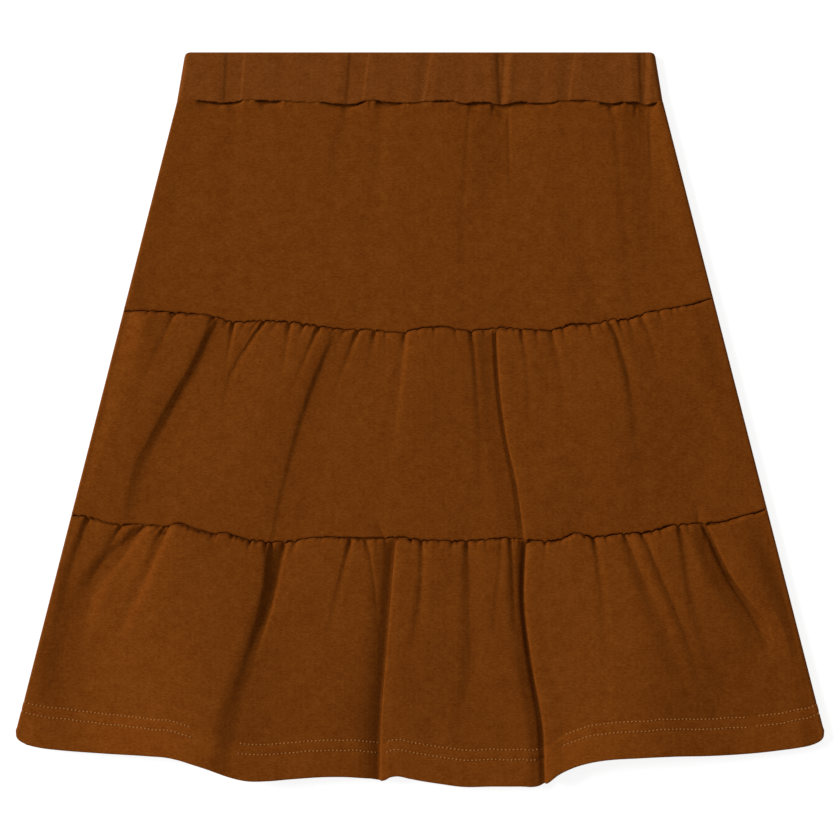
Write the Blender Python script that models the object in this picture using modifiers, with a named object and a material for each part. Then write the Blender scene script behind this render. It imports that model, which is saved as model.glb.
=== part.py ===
"""Tiered ruffle skirt in jersey, laid flat with its front up.

A waistband casing, a smooth top tier, a gathered middle tier and a gathered bottom tier with a turned hem.
Each tier has a back panel, flat on the surface, and a front panel whose sides turn down onto its edges.
The script works in metres with +Z up. The skirt lies on z = 0 with its waist towards +Y, and the origin is
the middle of its outline on that plane. The sizes and tables are in millimetres, in two measures:
  across  from the centre line, + to the right as the skirt lies
  down    from the top edge of the waistband
"""

from collections import namedtuple
import math

import bmesh
import bpy
import numpy as np

MM = 0.001

# Overall sizes, mm
LENGTH = 411.0            # waistband edge to the lowest point of the hem
BAND_HEIGHT = 27.4
BAND_HALF_TOP = 131.6     # half the width of the waistband's top edge
SIDE_AT_SEAM = 136.1      # half the width where the skirt leaves the waistband
SIDE_FLARE = 0.2556       # gain of half width for each millimetre down
SIDE_CORNER = 380.5       # down, where the side turns into the hem

# Cloth, mm
WALL = 1.2                # jersey of a panel
HEM_WALL = 1.8            # the turned hem, two layers pressed together
HEM_DEPTH = 21.0
BAND_WALL = 2.8           # jersey, elastic, jersey
BAND_HOLLOW = 0.5         # between the waistband's front and back, which lie on each other
BAND_EDGE = 0.8           # rounding of its folded and sewn edges
GAP = 0.3                 # between pieces that touch
HALF_GAP = GAP / 2        # from a seam to the edge of either piece
SEAM_HOLD = 2.0           # a gathered edge is level this far below its seam
EASE_LENGTH = 6.0         # and from there takes this far to reach its full height
LAP_EASE_LENGTH = 14.0    # and this far to lap over itself
SIDE_REACH = 12.0         # this far from a side it comes to the side's height

# Heights of the middle of the wall above the surface, mm
REST_LEVEL = WALL + GAP + WALL / 2          # a front panel that lies on the back panel
HEM_REST_LEVEL = HEM_WALL + GAP + HEM_WALL / 2
SEAM_LEVEL = 2.9                            # a gathered edge in its seam
SIDE_LEVEL = 3.6                            # a front panel at its sides
SIDE_RADIUS = 1.5                           # of its turn down from there to the side seam

# Folds that lap over themselves, mm
LAP_BEFORE = 2.0          # the folded stretch starts this far left of the visible edge
LAP_AFTER = 10.0          # and ends this far right of it
LAP_RADIUS = 1.1          # of each of its two turns, at the middle of the wall
LAP_TURN = (-75, -25, 25, 75)               # points round a turn, in degrees

# Seams and hem: (across, down)
WAIST_SEAM = (
    (-137, 27.2), (-110, 28.4), (-100, 27.0), (-70, 27.6), (-43, 29.6), (-30, 27.6), (10, 27.8), (30, 28.2),
    (44, 30.0), (53, 27.4), (74, 28.0), (90, 27.0), (107, 28.6), (125, 30.0), (132, 27.6), (137, 27.8))
BACK_WAIST_SEAM = ((-137, 27.6), (0, 27.6), (137, 27.6))
UPPER_SEAM = (
    (-168, 145.3), (-130, 146.4), (-105, 150.4), (-69, 151.4), (-40, 155.2), (0, 155.8), (45, 154.6),
    (75, 155.2), (104, 150.8), (128, 146.0), (168, 137.4))
LOWER_SEAM = (
    (-196, 259.5), (-174, 263.6), (-133, 264.2), (-112, 269.8), (-85, 274.0), (-58, 272.0), (0, 272.8),
    (36, 273.0), (62, 272.8), (86, 270.0), (97, 271.2), (128, 268.2), (152, 264.2), (172, 262.4), (196, 255.6))
HEM = (
    (-226.4, 380.5), (-224.4, 385), (-219.5, 387.6), (-212.8, 388.9), (-195, 390.4), (-151, 393.2), (-138, 394.8),
    (-118, 401.8), (-104, 406.2), (-95, 407.6), (-84, 407.4), (-48, 405.2), (-21, 407.0), (-15, 405.0),
    (-8, 405.8), (11, 409.1), (24, 410.8), (56, 411.0), (67, 409.8), (73, 407.0), (84, 400.7), (97, 396.8),
    (123, 394.5), (151, 393.4), (180, 392.3), (202, 390.0), (212.8, 388.4), (219.5, 387.0), (224.4, 385),
    (226.4, 380.5))
BACK_HEM = (
    (-226.4, 380.5), (-224.4, 384.6), (-212, 387.2), (-150, 391.4), (0, 399.0), (150, 391.0), (212, 386.8),
    (224.4, 384.6), (226.4, 380.5))

# Creases that run down a tier. path is the distance across at the top, quarter, half, three quarters and foot
# of the tier, and strength is how much of the crease there is there. depth is how far the cloth dips into it,
# reach how far it takes to come back on the left and on the right, and swell the rise beside it. A crease
# with a lap folds over itself: its right side lies step above the panel and hides lap of the cloth below.
Crease = namedtuple("Crease", "name path strength depth reach swell lap step", defaults=(0.0, 0.0))

TOP_CREASES = (
    Crease("left_soft", (-103, -106, -109, -110, -106), (0.5, 0.5, 0.6, 0.8, 1.0), 0.5, (14, 12), (0.2, 0.1)),
    Crease("centre_left", (-42, -46, -50, -54, -58), (1.0, 0.8, 0.6, 0.4, 0.3), 0.6, (16, 14), (0.2, 0.2)),
    Crease("centre", (-22, -24, -27, -30, -33), (0.7, 0.8, 0.7, 0.5, 0.3), 0.6, (12, 12), (0.1, 0.4)),
    Crease("pinch", (28, 26, 25, 25, 26), (1.0, 0.8, 0.5, 0.3, 0.3), 0.8, (8, 20), (0.3, 0.0)),
    Crease("pinch_edge", (49.5, 52, 53, 54, 55), (1.0, 0.5, 0.2, 0.1, 0.0), 1.2, (12, 3), (0.0, 0.5)),
    Crease("right_soft", (78, 82, 86, 92, 98), (0.7, 0.6, 0.5, 0.6, 0.9), 0.5, (12, 14), (0.2, 0.1)),
    Crease("side_pinch", (110, 112, 114, 116, 118), (1.0, 0.7, 0.4, 0.3, 0.2), 0.7, (8, 16), (0.3, 0.0)),
    Crease("side_edge", (128, 134, 140, 146, 150), (1.0, 0.4, 0.1, 0.0, 0.0), 1.0, (10, 4), (0.0, 0.3)),
)
MIDDLE_CREASES = (
    Crease("side_faint", (-137, -151, -165, -176, -183), (0.8, 0.4, 0.2, 0.1, 0.0), 1.0, (8, 8), (0.3, 0.3)),
    Crease("long_left", (-113.7, -131, -146.7, -161.8, -165.8), (1.0, 1.0, 1.0, 0.6, 0.3), 2.4, (5, 6), (1.0, 0.5)),
    Crease("slant_a", (-87.4, -116, -131, -145, -150), (1.0, 0.4, 0.1, 0.0, 0.0), 1.4, (5, 5), (0.4, 0.4)),
    Crease("slant_b", (-72.8, -80.6, -89.6, -98.6, -103), (1.0, 0.4, 0.2, 0.1, 0.0), 1.4, (6, 4), (0.2, 0.6)),
    Crease("slant_c", (-57.7, -72, -84, -91, -95), (1.0, 0.3, 0.1, 0.0, 0.0), 1.3, (5, 5), (0.4, 0.3)),
    Crease("long_centre", (-48.2, -59.9, -71.7, -80.1, -84.6), (1.0, 1.0, 0.8, 0.7, 0.6), 2.0, (4, 7), (0.7, 0.3)),
    Crease("slant_d", (-34.7, -50.4, -58.8, -64.4, -67.2), (1.0, 0.3, 0.1, 0.0, 0.0), 1.3, (6, 6), (0.3, 0.3)),
    Crease("slant_e", (-25.2, -32.5, -39.2, -44.8, -49.3), (1.0, 0.4, 0.1, 0.0, 0.0), 1.2, (5, 4), (0.2, 0.5)),
    Crease("middle_edge", (-8.4, -11.5, -16, -22, -26), (1.0, 0.5, 0.3, 0.2, 0.1), 1.5, (9, 4), (0.2, 0.5)),
    Crease("sunk_edge", (29.1, 31.9, 37.5, 43.0, 48.0), (1.0, 0.9, 0.5, 0.3, 0.1), 1.2, (5, 5), (0.5, 0.0)),
    Crease("lapped", (42.6, 44.2, 47.8, 54.2, 58.4), (1.0, 1.0, 1.0, 1.0, 0.9), 1.5, (9, 14), (0, 0), 3.0, 2.9),
    Crease("beside_lap", (57.1, 59.8, 63.2, 68.0, 73.0), (1.0, 0.6, 0.3, 0.1, 0.0), 1.0, (4, 7), (0.2, 0.3)),
    Crease("right_a", (73.4, 80.1, 84, 89.6, 95.2), (1.0, 0.5, 0.2, 0.0, 0.0), 1.0, (6, 6), (0.3, 0.3)),
    Crease("long_right", (107, 116.5, 122.1, 127.7, 133.3), (1.0, 0.9, 0.5, 0.3, 0.1), 1.7, (5, 12), (0.7, 0.0)),
    Crease("right_faint", (128.8, 141.7, 151.2, 159.6, 168), (0.9, 0.4, 0.1, 0.0, 0.0), 1.0, (7, 7), (0.2, 0.2)),
)
BOTTOM_CREASES = (
    Crease("edge_left", (-184.8, -198.2, -205, -210.6, -214), (1.0, 0.7, 0.2, 0.0, 0.0), 1.6, (4, 6), (0.3, 0.4)),
    Crease("left_a", (-166.9, -187, -193.8, -199.4, -203.8), (1.0, 0.3, 0.1, 0.0, 0.0), 1.4, (6, 5), (0.3, 0.3)),
    Crease("left_b", (-155.7, -179.2, -185.9, -190.4, -193.8), (1.0, 0.6, 0.2, 0.0, 0.0), 1.7, (5, 6), (0.4, 0.4)),
    Crease("left_c", (-142.2, -153.4, -166.9, -172.5, -175.8), (1.0, 0.8, 0.3, 0.1, 0.0), 2.0, (9, 5), (0.2, 1.0)),
    Crease("valley", (-81.8, -87.9, -100.8, -109.2, -110.9), (1.0, 1.0, 1.0, 0.8, 0.6), 3.0, (7, 11), (1.0, 0.3)),
    Crease("centre_a", (-39.8, -50.4, -57.1, -61.6, -64.4), (1.0, 0.6, 0.1, 0.0, 0.0), 1.5, (5, 5), (0.3, 0.4)),
    Crease("centre_b", (-30.2, -25.0, -26.5, -28.5, -29.5), (1.0, 0.6, 0.1, 0.0, 0.0), 1.2, (5, 4), (0.3, 0.0)),
    Crease("lapped_left", (-13.4, -16.2, -19, -21.8, -22.4), (1.0, 1.0, 1.0, 1.0, 1.0), 1.6, (9, 13), (0, 0),
           4.0, 2.9),
    Crease("centre_c", (1.5, -1.1, -4.5, -4.5, -3.5), (1.0, 0.7, 0.3, 0.1, 0.0), 1.3, (4, 6), (0.2, 0.3)),
    Crease("centre_d", (26.3, 28, 24.1, 17.9, 14.6), (1.0, 0.9, 0.7, 0.3, 0.1), 1.6, (5, 5), (0.4, 0.4)),
    Crease("centre_e", (43.7, 36.0, 33.5, 32.0, 31.4), (0.8, 0.6, 0.1, 0.0, 0.0), 1.1, (5, 5), (0.2, 0.3)),
    Crease("beside_lap", (50.4, 51.0, 53.5, 58.0, 60.0), (1.0, 0.7, 0.2, 0.0, 0.0), 1.3, (5, 4), (0.4, 0.0)),
    Crease("lapped_right", (59.9, 58.2, 61.6, 67.8, 70), (1.0, 1.0, 1.0, 1.0, 1.0), 1.7, (9, 16), (0, 0),
           4.0, 2.9),
    Crease("right_a", (96.3, 100.8, 101.9, 103, 104.2), (1.0, 0.7, 0.4, 0.2, 0.0), 1.5, (5, 7), (0.4, 0.2)),
    Crease("right_b", (114.2, 128.8, 141.7, 151.2, 156.8), (1.0, 0.9, 0.5, 0.2, 0.0), 1.6, (5, 5), (0.4, 0.2)),
    Crease("right_c", (126, 139.4, 151.2, 160.2, 165.8), (0.9, 0.9, 0.5, 0.1, 0.0), 1.4, (4, 5), (0.2, 0.4)),
    Crease("right_d", (143.6, 151.2, 161.3, 169.1, 174.7), (1.0, 0.8, 0.3, 0.1, 0.0), 1.5, (4, 8), (0.3, 0.0)),
    Crease("lapped_side", (158.5, 174.2, 192.0, 200.0, 203.0), (1.0, 1.0, 0.5, 0.1, 0.0), 1.9, (10, 12), (0, 0),
           3.0, 2.9),
)

# Gathers held in a seam: (across at the seam, depth, how far down it fades)
MIDDLE_GATHERS = (
    (-152, 0.6, 9), (-125, 0.7, 10), (-104, 1.2, 14), (-96, 0.9, 18), (-80, 1.2, 12), (-65, 1.2, 11),
    (-41, 0.9, 12), (-17, 0.9, 14), (-1, 0.8, 10), (6, 0.9, 9), (14, 1.1, 14), (22, 0.9, 9), (36, 0.9, 12),
    (65, 0.9, 14), (81, 1.0, 14), (88, 1.0, 10), (95, 1.1, 11), (101, 0.9, 10), (117, 0.9, 12), (122, 0.9, 10),
    (134, 0.9, 12), (140, 0.8, 10), (150, 0.7, 12))
BOTTOM_GATHERS = (
    (-176, 1.2, 10), (-161, 1.2, 12), (-149, 1.1, 14), (-128, 0.9, 10), (-121, 0.8, 10), (-114, 1.2, 12),
    (-106, 1.2, 14), (-98, 0.9, 10), (-91, 1.2, 14), (-72, 1.2, 11), (-63, 1.0, 14), (-55, 1.1, 8), (-47, 0.8, 9),
    (-35, 0.8, 12), (-22, 1.0, 14), (7, 1.2, 12), (14, 1.1, 10), (20, 1.0, 10), (33, 1.1, 12), (38, 1.2, 10),
    (71, 1.1, 12), (77, 1.0, 12), (84, 1.1, 9), (90, 1.1, 10), (103, 1.1, 14), (109, 1.0, 10), (120, 1.0, 12),
    (132, 1.0, 10), (138, 1.1, 12), (150, 1.1, 14), (170, 0.8, 8), (180, 0.6, 10))
GATHER_REACH = 3.2

# Broad swells of a panel: (across, down, half width, half height, rise)
TOP_SWELLS = ((-10, 90, 30, 60, 0.4),)
MIDDLE_SWELLS = ((-100, 205, 30, 40, 0.4), (95, 200, 30, 40, 0.4), (0, 215, 25, 40, 0.4))
BOTTOM_SWELLS = (
    (-150, 345, 42, 60, 1.4), (-60, 345, 26, 50, 0.5), (20, 345, 34, 60, 0.8), (100, 340, 34, 55, 0.9),
    (165, 350, 32, 40, 0.4))

# Elastic gathers of the waistband's front: (across at its top, drift over its height, half width, rise)
BAND_WAVES = (
    (-118, -1, 6, 0.3), (-102, -3, 6, 0.5), (-88, -2, 6, 0.3), (-70, -1, 7, 0.4), (-52, -1, 6, 0.3),
    (-33, -2, 6, 0.5), (-18, -1, 6, 0.3), (-1, -1, 6, 0.4), (15, 0, 7, 0.4), (33, 0, 7, 0.5), (50, 1, 5, 0.5),
    (66, 0, 6, 0.3), (82, -2, 6, 0.4), (98, 0, 6, 0.3), (112, 1, 6, 0.5), (125, 1, 4, 0.4))

# A tier's front. levels are the heights of the wall's middle at the top, quarter, half, three quarters and
# foot. A gathered tier starts low, in the seam of the tier above it.
Tier = namedtuple("Tier", "name top foot back_top back_foot creases gathers swells levels gathered")
TIERS = (
    Tier("top_tier", WAIST_SEAM, UPPER_SEAM, BACK_WAIST_SEAM, UPPER_SEAM, TOP_CREASES, (), TOP_SWELLS,
         (4.0, 3.5, 3.3, 3.4, 3.8), False),
    Tier("middle_tier", UPPER_SEAM, LOWER_SEAM, UPPER_SEAM, LOWER_SEAM, MIDDLE_CREASES, MIDDLE_GATHERS,
         MIDDLE_SWELLS, (5.0, 4.6, 4.3, 4.1, 3.9), True),
    Tier("bottom_tier", LOWER_SEAM, HEM, LOWER_SEAM, BACK_HEM, BOTTOM_CREASES, BOTTOM_GATHERS,
         BOTTOM_SWELLS, (5.0, 4.8, 4.5, 4.3, 4.2), True),
)

# Rows of a panel: near its top in mm, then in parts of its height, then near its foot in mm
FRONT_ROWS = (
    ((HALF_GAP, 6.0), (0.2, 0.4, 0.6, 0.8), (7.5, HALF_GAP)),
    ((HALF_GAP, 2.0, 5.0, 9.0, 16.0), (0.27, 0.42, 0.58, 0.75), (7.5, HALF_GAP)),
    ((HALF_GAP, 2.0, 5.0, 9.0, 16.0), (0.24, 0.37, 0.53, 0.7), (HEM_DEPTH + 2, HEM_DEPTH, 0.0)))
BACK_ROWS = (
    ((HALF_GAP,), (0.35, 0.7), (HALF_GAP,)),
    ((HALF_GAP,), (0.35, 0.7), (HALF_GAP,)),
    ((HALF_GAP,), (0.4,), (HEM_DEPTH + 2, HEM_DEPTH, 0.0)))
BAND_ROWS = (0.0, 0.3, 0.65, 1.0)
BAND_BACK_COLUMNS = 8
ROLL_ANGLES = (60, 35, 12, -45)             # columns round a side, in degrees, the last at the seam
WIDEST_COLUMN = 8.0
NARROWEST_COLUMN = 2.8
BACK_COLUMNS = 19

JERSEY = (0.147, 0.037, 0.004)
JERSEY_ROUGHNESS = 0.92


# ---------------------------------------------------------------- curves and profiles

def smooth_through(table, x):
    """Read at x the smooth curve through a table's points."""
    xs, ys = np.array(table, float).T
    x = np.clip(x, xs[0], xs[-1])
    slopes = np.gradient(ys, xs)
    k = np.clip(np.searchsorted(xs, x) - 1, 0, len(xs) - 2)
    width = xs[k + 1] - xs[k]
    t = (x - xs[k]) / width
    rise = ys[k + 1] - ys[k]
    leaving = slopes[k] * width - rise
    arriving = rise - slopes[k + 1] * width
    return ys[k] + rise * t + t * (1 - t) * (leaving * (1 - t) + arriving * t)


def down_a_tier(values, part):
    """Read five values, set at even steps down a tier, at a part of its height."""
    return smooth_through(np.column_stack([np.linspace(0, 1, 5), values]), part)


def smoothstep(t):
    t = np.clip(t, 0, 1)
    return t * t * (3 - 2 * t)


def dip(distance, reach):
    """1 in the middle of a crease, falling to 0 at its reach, sharp in the middle."""
    return np.clip(1 - distance / reach, 0, 1) ** 2


def hump(distance, reach):
    """0 at a crease, 1 at its reach and fading past it."""
    u = np.maximum(distance, 0) / reach
    return u * np.exp(1 - u)


def keep_above(height, floor, softness=0.2):
    """Bend a height up smoothly where it would go below the floor."""
    over = height - floor
    return floor + (over + np.sqrt(over * over + softness * softness)) / 2


def half_width(down):
    """Half the width of the laid skirt."""
    return SIDE_AT_SEAM + (np.minimum(down, SIDE_CORNER) - BAND_HEIGHT) * SIDE_FLARE


def wall_at(tier, above_foot):
    """Thickness of a tier's cloth, which doubles in the turned hem."""
    turned = (above_foot <= HEM_DEPTH + GAP) & (tier.foot is HEM)
    return np.where(turned, HEM_WALL, WALL)


# ---------------------------------------------------------------- the grid of a panel

# A column of a panel's grid. at is its place across the tier's top. A column of a lap has the lap's crease and
# its step along the S, and a column of a side roll has the side and how far it is turned, in degrees.
Column = namedtuple("Column", "at crease step side angle", defaults=(None, 0, 0, 0.0))

# The grid on the plane, each an array of rows by columns; part is the part of the tier's height of each row
Grid = namedtuple("Grid", "at across part down below_top above_foot")


def lap_profile(lap):
    """The S of a lapped crease from left to right: across from its visible edge, and height from 0 to 1."""
    edge = lap / 2 + LAP_RADIUS + WALL / 2
    points = [(-LAP_BEFORE, 0), (edge - lap / 2, 0)]
    for angle in np.radians(LAP_TURN):
        points.append((edge + lap / 2 + LAP_RADIUS * math.cos(angle), LAP_RADIUS * (1 + math.sin(angle))))
    for angle in np.radians(LAP_TURN):
        points.append((edge - lap / 2 - LAP_RADIUS * math.cos(angle), LAP_RADIUS * (3 + math.sin(angle))))
    points += [(edge + lap / 2, 4 * LAP_RADIUS), (LAP_AFTER, 4 * LAP_RADIUS)]
    return np.array(points) / (1, 4 * LAP_RADIUS)


def side_rails(tier):
    """Paths of the two columns where the side rolls start."""
    lines = []
    for side, end in ((-1, 0), (1, -1)):
        down = np.linspace(tier.top[end][1], tier.foot[end][1], 5)
        lines.append(side * (half_width(down) - SIDE_RADIUS - WALL / 2))
    return lines


def crease_rails(tier):
    """Paths down the tier that its columns follow."""
    lines = side_rails(tier)
    for crease in tier.creases:
        ends = (-LAP_BEFORE, LAP_AFTER) if crease.lap else (0,)
        lines += [np.array(crease.path) + end for end in ends]
    return sorted(lines, key=lambda path: path[0])


def roll_columns(left, right):
    """The columns of the two side rolls, from the outside in and from the inside out."""
    lefts = [Column(left, side=-1, angle=angle) for angle in reversed(ROLL_ANGLES)]
    rights = [Column(right, side=1, angle=angle) for angle in ROLL_ANGLES]
    return lefts, rights


def front_columns(tier):
    """Columns at each crease and gather and at its flanks, with more where they would be far apart."""
    left, right = (path[0] for path in side_rails(tier))
    laps = [crease for crease in tier.creases if crease.lap]
    wanted = [[], [], []]
    for crease in tier.creases:
        at = crease.path[0]
        before, after = crease.reach
        if crease.lap:
            wanted[1] += [at - LAP_BEFORE - before / 2, at + LAP_AFTER + after / 2]
        else:
            wanted[0].append(at)
            wanted[1] += [at - before / 2, at + after / 2]
            wanted[2] += [at - before, at + after]
    for at, depth, length in tier.gathers:
        wanted[1].append(at)
        wanted[2] += [at - GATHER_REACH, at + GATHER_REACH]

    places = [left, right]
    for lap in laps:
        places += [lap.path[0] - LAP_BEFORE, lap.path[0] + LAP_AFTER]
    for at in wanted[0] + wanted[1] + wanted[2]:
        in_lap = any(-LAP_BEFORE < at - lap.path[0] < LAP_AFTER for lap in laps)
        nearest = min(abs(at - place) for place in places)
        if left < at < right and not in_lap and nearest >= NARROWEST_COLUMN:
            places.append(at)
    places.sort()

    columns = [Column(places[0])]
    for start, end in zip(places, places[1:]):
        lap = next((crease for crease in laps if abs(start + LAP_BEFORE - crease.path[0]) < 0.01), None)
        if lap:
            last = len(lap_profile(lap.lap)) - 1
            columns[-1] = Column(start, lap, 0)
            columns += [Column(start + (end - start) * k / last, lap, k) for k in range(1, last + 1)]
        else:
            parts = math.ceil((end - start) / WIDEST_COLUMN)
            columns += [Column(start + (end - start) * k / parts) for k in range(1, parts + 1)]
    lefts, rights = roll_columns(left, right)
    return lefts + columns + rights


def lay_grid(edges, lines, columns, rows):
    """Lay a panel's rows and columns on the plane. rows are mm near the top, parts, and mm near the foot."""
    top_edge, foot_edge = edges
    near_top, parts, near_foot = rows
    height = np.mean([foot[1] for foot in foot_edge]) - np.mean([top[1] for top in top_edge])
    shares = [(0, d) for d in near_top] + [(part, 0) for part in parts] + [(1, -d) for d in near_foot]
    part = np.array([[min(max(share + offset / height, 0), 1)] for share, offset in shares])
    at = np.array([[column.at for column in columns]])
    starts = [path[0] for path in lines]
    rail_places = np.stack([down_a_tier(path, part[:, 0]) for path in lines], axis=1)
    across = np.array([np.interp(at[0], starts, places) for places in rail_places])
    top = smooth_through(top_edge, across)
    foot = smooth_through(foot_edge, across)
    down = np.array([[share] for share, offset in shares]) * (foot - top) + top
    down += np.array([[offset] for share, offset in shares])
    return Grid(at, across, part, down, down - top, foot - down)


def front_height(tier, grid):
    """Height of the middle of a front panel's wall, before its laps and side rolls are turned."""
    height = down_a_tier(tier.levels, grid.part)
    for across, down, wide, high, rise in tier.swells:
        height = height + rise * np.exp(-((grid.across - across) / wide) ** 2 - ((grid.down - down) / high) ** 2)
    for crease in tier.creases:
        strength = np.clip(down_a_tier(crease.strength, grid.part), 0, 1)
        away = grid.across - down_a_tier(crease.path, grid.part)
        reach = np.where(away < 0, *crease.reach)
        swell = np.where(away < 0, *crease.swell)
        if crease.lap:
            past = np.where(away < 0, -away - LAP_BEFORE, away - LAP_AFTER)
            rise = np.where(away < 0, -crease.depth, crease.step)
            height = height + strength * rise * dip(np.maximum(past, 0), reach)
        else:
            away = abs(away)
            height = height + strength * (swell * hump(away, reach) - crease.depth * dip(away, reach))
    for at, depth, length in tier.gathers:
        fade = np.exp(-np.maximum(grid.below_top / length, 0) ** 1.5)
        height = height - depth * fade * dip(abs(grid.at - at), GATHER_REACH)
    height = SEAM_LEVEL + seam_ease(tier, grid, EASE_LENGTH) * (height - SEAM_LEVEL)
    past_side = half_width(grid.down) - SIDE_RADIUS - WALL / 2 - abs(grid.across)
    height = height + smoothstep(1 - past_side / SIDE_REACH) * (SIDE_LEVEL - height)
    floor = REST_LEVEL
    if tier.foot is HEM:
        floor = REST_LEVEL + (HEM_REST_LEVEL - REST_LEVEL) * smoothstep((grid.part - 0.5) / 0.2)
    return keep_above(height, floor)


def seam_ease(tier, grid, length):
    """0 where the cloth is held flat in the seam above it, 1 where it is free."""
    if not tier.gathered:
        return np.ones_like(grid.down)
    return smoothstep((grid.below_top - SEAM_HOLD) / length)


def turn_laps(tier, columns, grid, across, height):
    """Fold the columns of each lapped crease into its S, as far as the crease is strong."""
    ease = seam_ease(tier, grid, LAP_EASE_LENGTH)
    for crease in tier.creases:
        if not crease.lap:
            continue
        mine = [k for k, column in enumerate(columns) if column.crease is crease]
        profile = lap_profile(crease.lap)
        even = np.linspace(0, 1, len(mine))
        path = down_a_tier(crease.path, grid.part)
        strength = np.clip(down_a_tier(crease.strength, grid.part), 0, 1)
        fold = strength * ease[:, mine]
        flat = -LAP_BEFORE + even * (LAP_BEFORE + LAP_AFTER)
        low = height[:, mine[:1]]
        high = height[:, mine[-1:]]
        across[:, mine] = path + flat + smoothstep((strength * fold - 0.4) / 0.6) * (profile[:, 0] - flat)
        height[:, mine] = low + (high - low) * (even + fold * (profile[:, 1] - even))


def turn_sides(columns, grid, across, height, wall):
    """Turn a front panel's outer columns down to the side seam, on the edge of the back panel."""
    for k, column in enumerate(columns):
        if not column.side:
            continue
        turn = math.radians(column.angle)
        inner = half_width(grid.down[:, k]) - wall[:, k] / 2 - SIDE_RADIUS
        across[:, k] = column.side * (inner + SIDE_RADIUS * math.cos(max(turn, 0)))
        turned = SIDE_LEVEL - SIDE_RADIUS * (1 - math.sin(turn))
        height[:, k] = np.maximum(turned, wall[:, k] + GAP)


# ---------------------------------------------------------------- solids

def jersey(name):
    """A piece's own matt brown jersey."""
    material = bpy.data.materials.new(name + "_jersey")
    material.use_nodes = True
    shader = material.node_tree.nodes["Principled BSDF"]
    shader.inputs["Base Color"].default_value = (*JERSEY, 1)
    shader.inputs["Roughness"].default_value = JERSEY_ROUGHNESS
    shader.inputs["Metallic"].default_value = 0
    return material


def surface(name, across, down, height, closed=False):
    """An object whose mesh is a grid primitive with its points moved to their places, in rows by columns."""
    rows, columns = across.shape
    mesh = bmesh.new()
    bmesh.ops.create_grid(mesh, x_segments=columns - 1, y_segments=rows - 1, size=1)
    mesh.verts.index_update()
    point_at = np.zeros((rows, columns), int)
    for vert in mesh.verts:
        row = round((1 - vert.co.y) / 2 * (rows - 1))
        column = round((1 + vert.co.x) / 2 * (columns - 1))
        point_at[row, column] = vert.index
        y = LENGTH / 2 - down[row, column]
        vert.co = (across[row, column] * MM, y * MM, height[row, column] * MM)
    if closed:
        bmesh.ops.remove_doubles(mesh, verts=mesh.verts, dist=0.01 * MM)
    data = bpy.data.meshes.new(name)
    mesh.to_mesh(data)
    mesh.free()
    data.materials.append(jersey(name))
    return bpy.data.objects.new(name, data), point_at


def thicken(piece, wall):
    """Give a surface a wall, half to each side."""
    shell = piece.modifiers.new("wall", "SOLIDIFY")
    shell.thickness = wall * MM
    shell.offset = 0
    shell.use_quality_normals = True
    return shell


def cloth(name, grid, across, height, wall):
    """A panel with a jersey wall, thicker where its hem is turned."""
    piece, point_at = surface(name, across, grid.down, height)
    turned = wall > WALL
    shell = thicken(piece, HEM_WALL if turned.any() else WALL)
    if turned.any():
        hem = piece.vertex_groups.new(name="hem")
        hem.add(point_at[turned].tolist(), 1.0, "REPLACE")
        shell.vertex_group = hem.name
        shell.thickness_vertex_group = WALL / HEM_WALL
    return piece


def front_panel(tier, rows):
    """One front panel: gathered edge, creases, laps and side rolls."""
    columns = front_columns(tier)
    grid = lay_grid((tier.top, tier.foot), crease_rails(tier), columns, rows)
    wall = wall_at(tier, grid.above_foot)
    across = grid.across.copy()
    height = front_height(tier, grid)
    turn_laps(tier, columns, grid, across, height)
    turn_sides(columns, grid, across, height, wall)
    return cloth(tier.name + "_front", grid, across, height, wall)


def back_panel(tier, rows):
    """One back panel, flat on the surface."""
    sides = [path + np.sign(path) * (SIDE_RADIUS + WALL / 2) for path in side_rails(tier)]
    columns = [Column(at) for at in np.linspace(sides[0][0], sides[1][0], BACK_COLUMNS)]
    grid = lay_grid((tier.back_top, tier.back_foot), sides, columns, rows)
    wall = wall_at(tier, grid.above_foot)
    return cloth(tier.name + "_back", grid, grid.across, wall / 2, wall)


def band_ring(share):
    """The waistband's ring at a part of its height: across and height of each point, once round."""
    back = BAND_WALL / 2
    front = back + BAND_WALL + BAND_HOLLOW
    radius = (front - back) / 2
    inner = BAND_HALF_TOP + share * (SIDE_AT_SEAM - BAND_HALF_TOP) - BAND_WALL / 2 - radius
    crests = np.array([at + drift * share for at, drift, wide, rise in BAND_WAVES])
    ring = [(-inner, front)]
    for place in np.sort(np.concatenate([crests, (crests[1:] + crests[:-1]) / 2])):
        waves = [rise * math.exp(-2 * ((place - crest) / wide) ** 2)
                 for crest, (at, drift, wide, rise) in zip(crests, BAND_WAVES)]
        ring.append((place, front + sum(waves)))
    ring.append((inner, front))
    turn = np.radians((45, 0, -45))
    middle = back + radius
    ring += [(inner + radius * math.cos(a), middle + radius * math.sin(a)) for a in turn]
    ring += [(inner * (1 - 2 * k / BAND_BACK_COLUMNS), back) for k in range(BAND_BACK_COLUMNS + 1)]
    ring += [(-inner - radius * math.cos(a), middle + radius * math.sin(a)) for a in -turn]
    ring.append(ring[0])
    return np.array(ring)


def waistband():
    """The casing: one ring laid flat, its edges rounded."""
    shares = np.array(BAND_ROWS)
    rings = np.stack([band_ring(share) for share in shares])
    across = rings[:, :, 0]
    front = rings[:, :, 1] > BAND_WALL
    foot = np.where(front, smooth_through(WAIST_SEAM, across), smooth_through(BACK_WAIST_SEAM, across))
    down = shares[:, None] * (foot - HALF_GAP)
    piece, _ = surface("waistband", across, down, rings[:, :, 1], closed=True)
    thicken(piece, BAND_WALL)
    edge = piece.modifiers.new("edge", "BEVEL")
    edge.width = BAND_EDGE * MM
    edge.segments = 2
    edge.limit_method = "ANGLE"
    edge.angle_limit = math.radians(60)
    return piece


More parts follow.
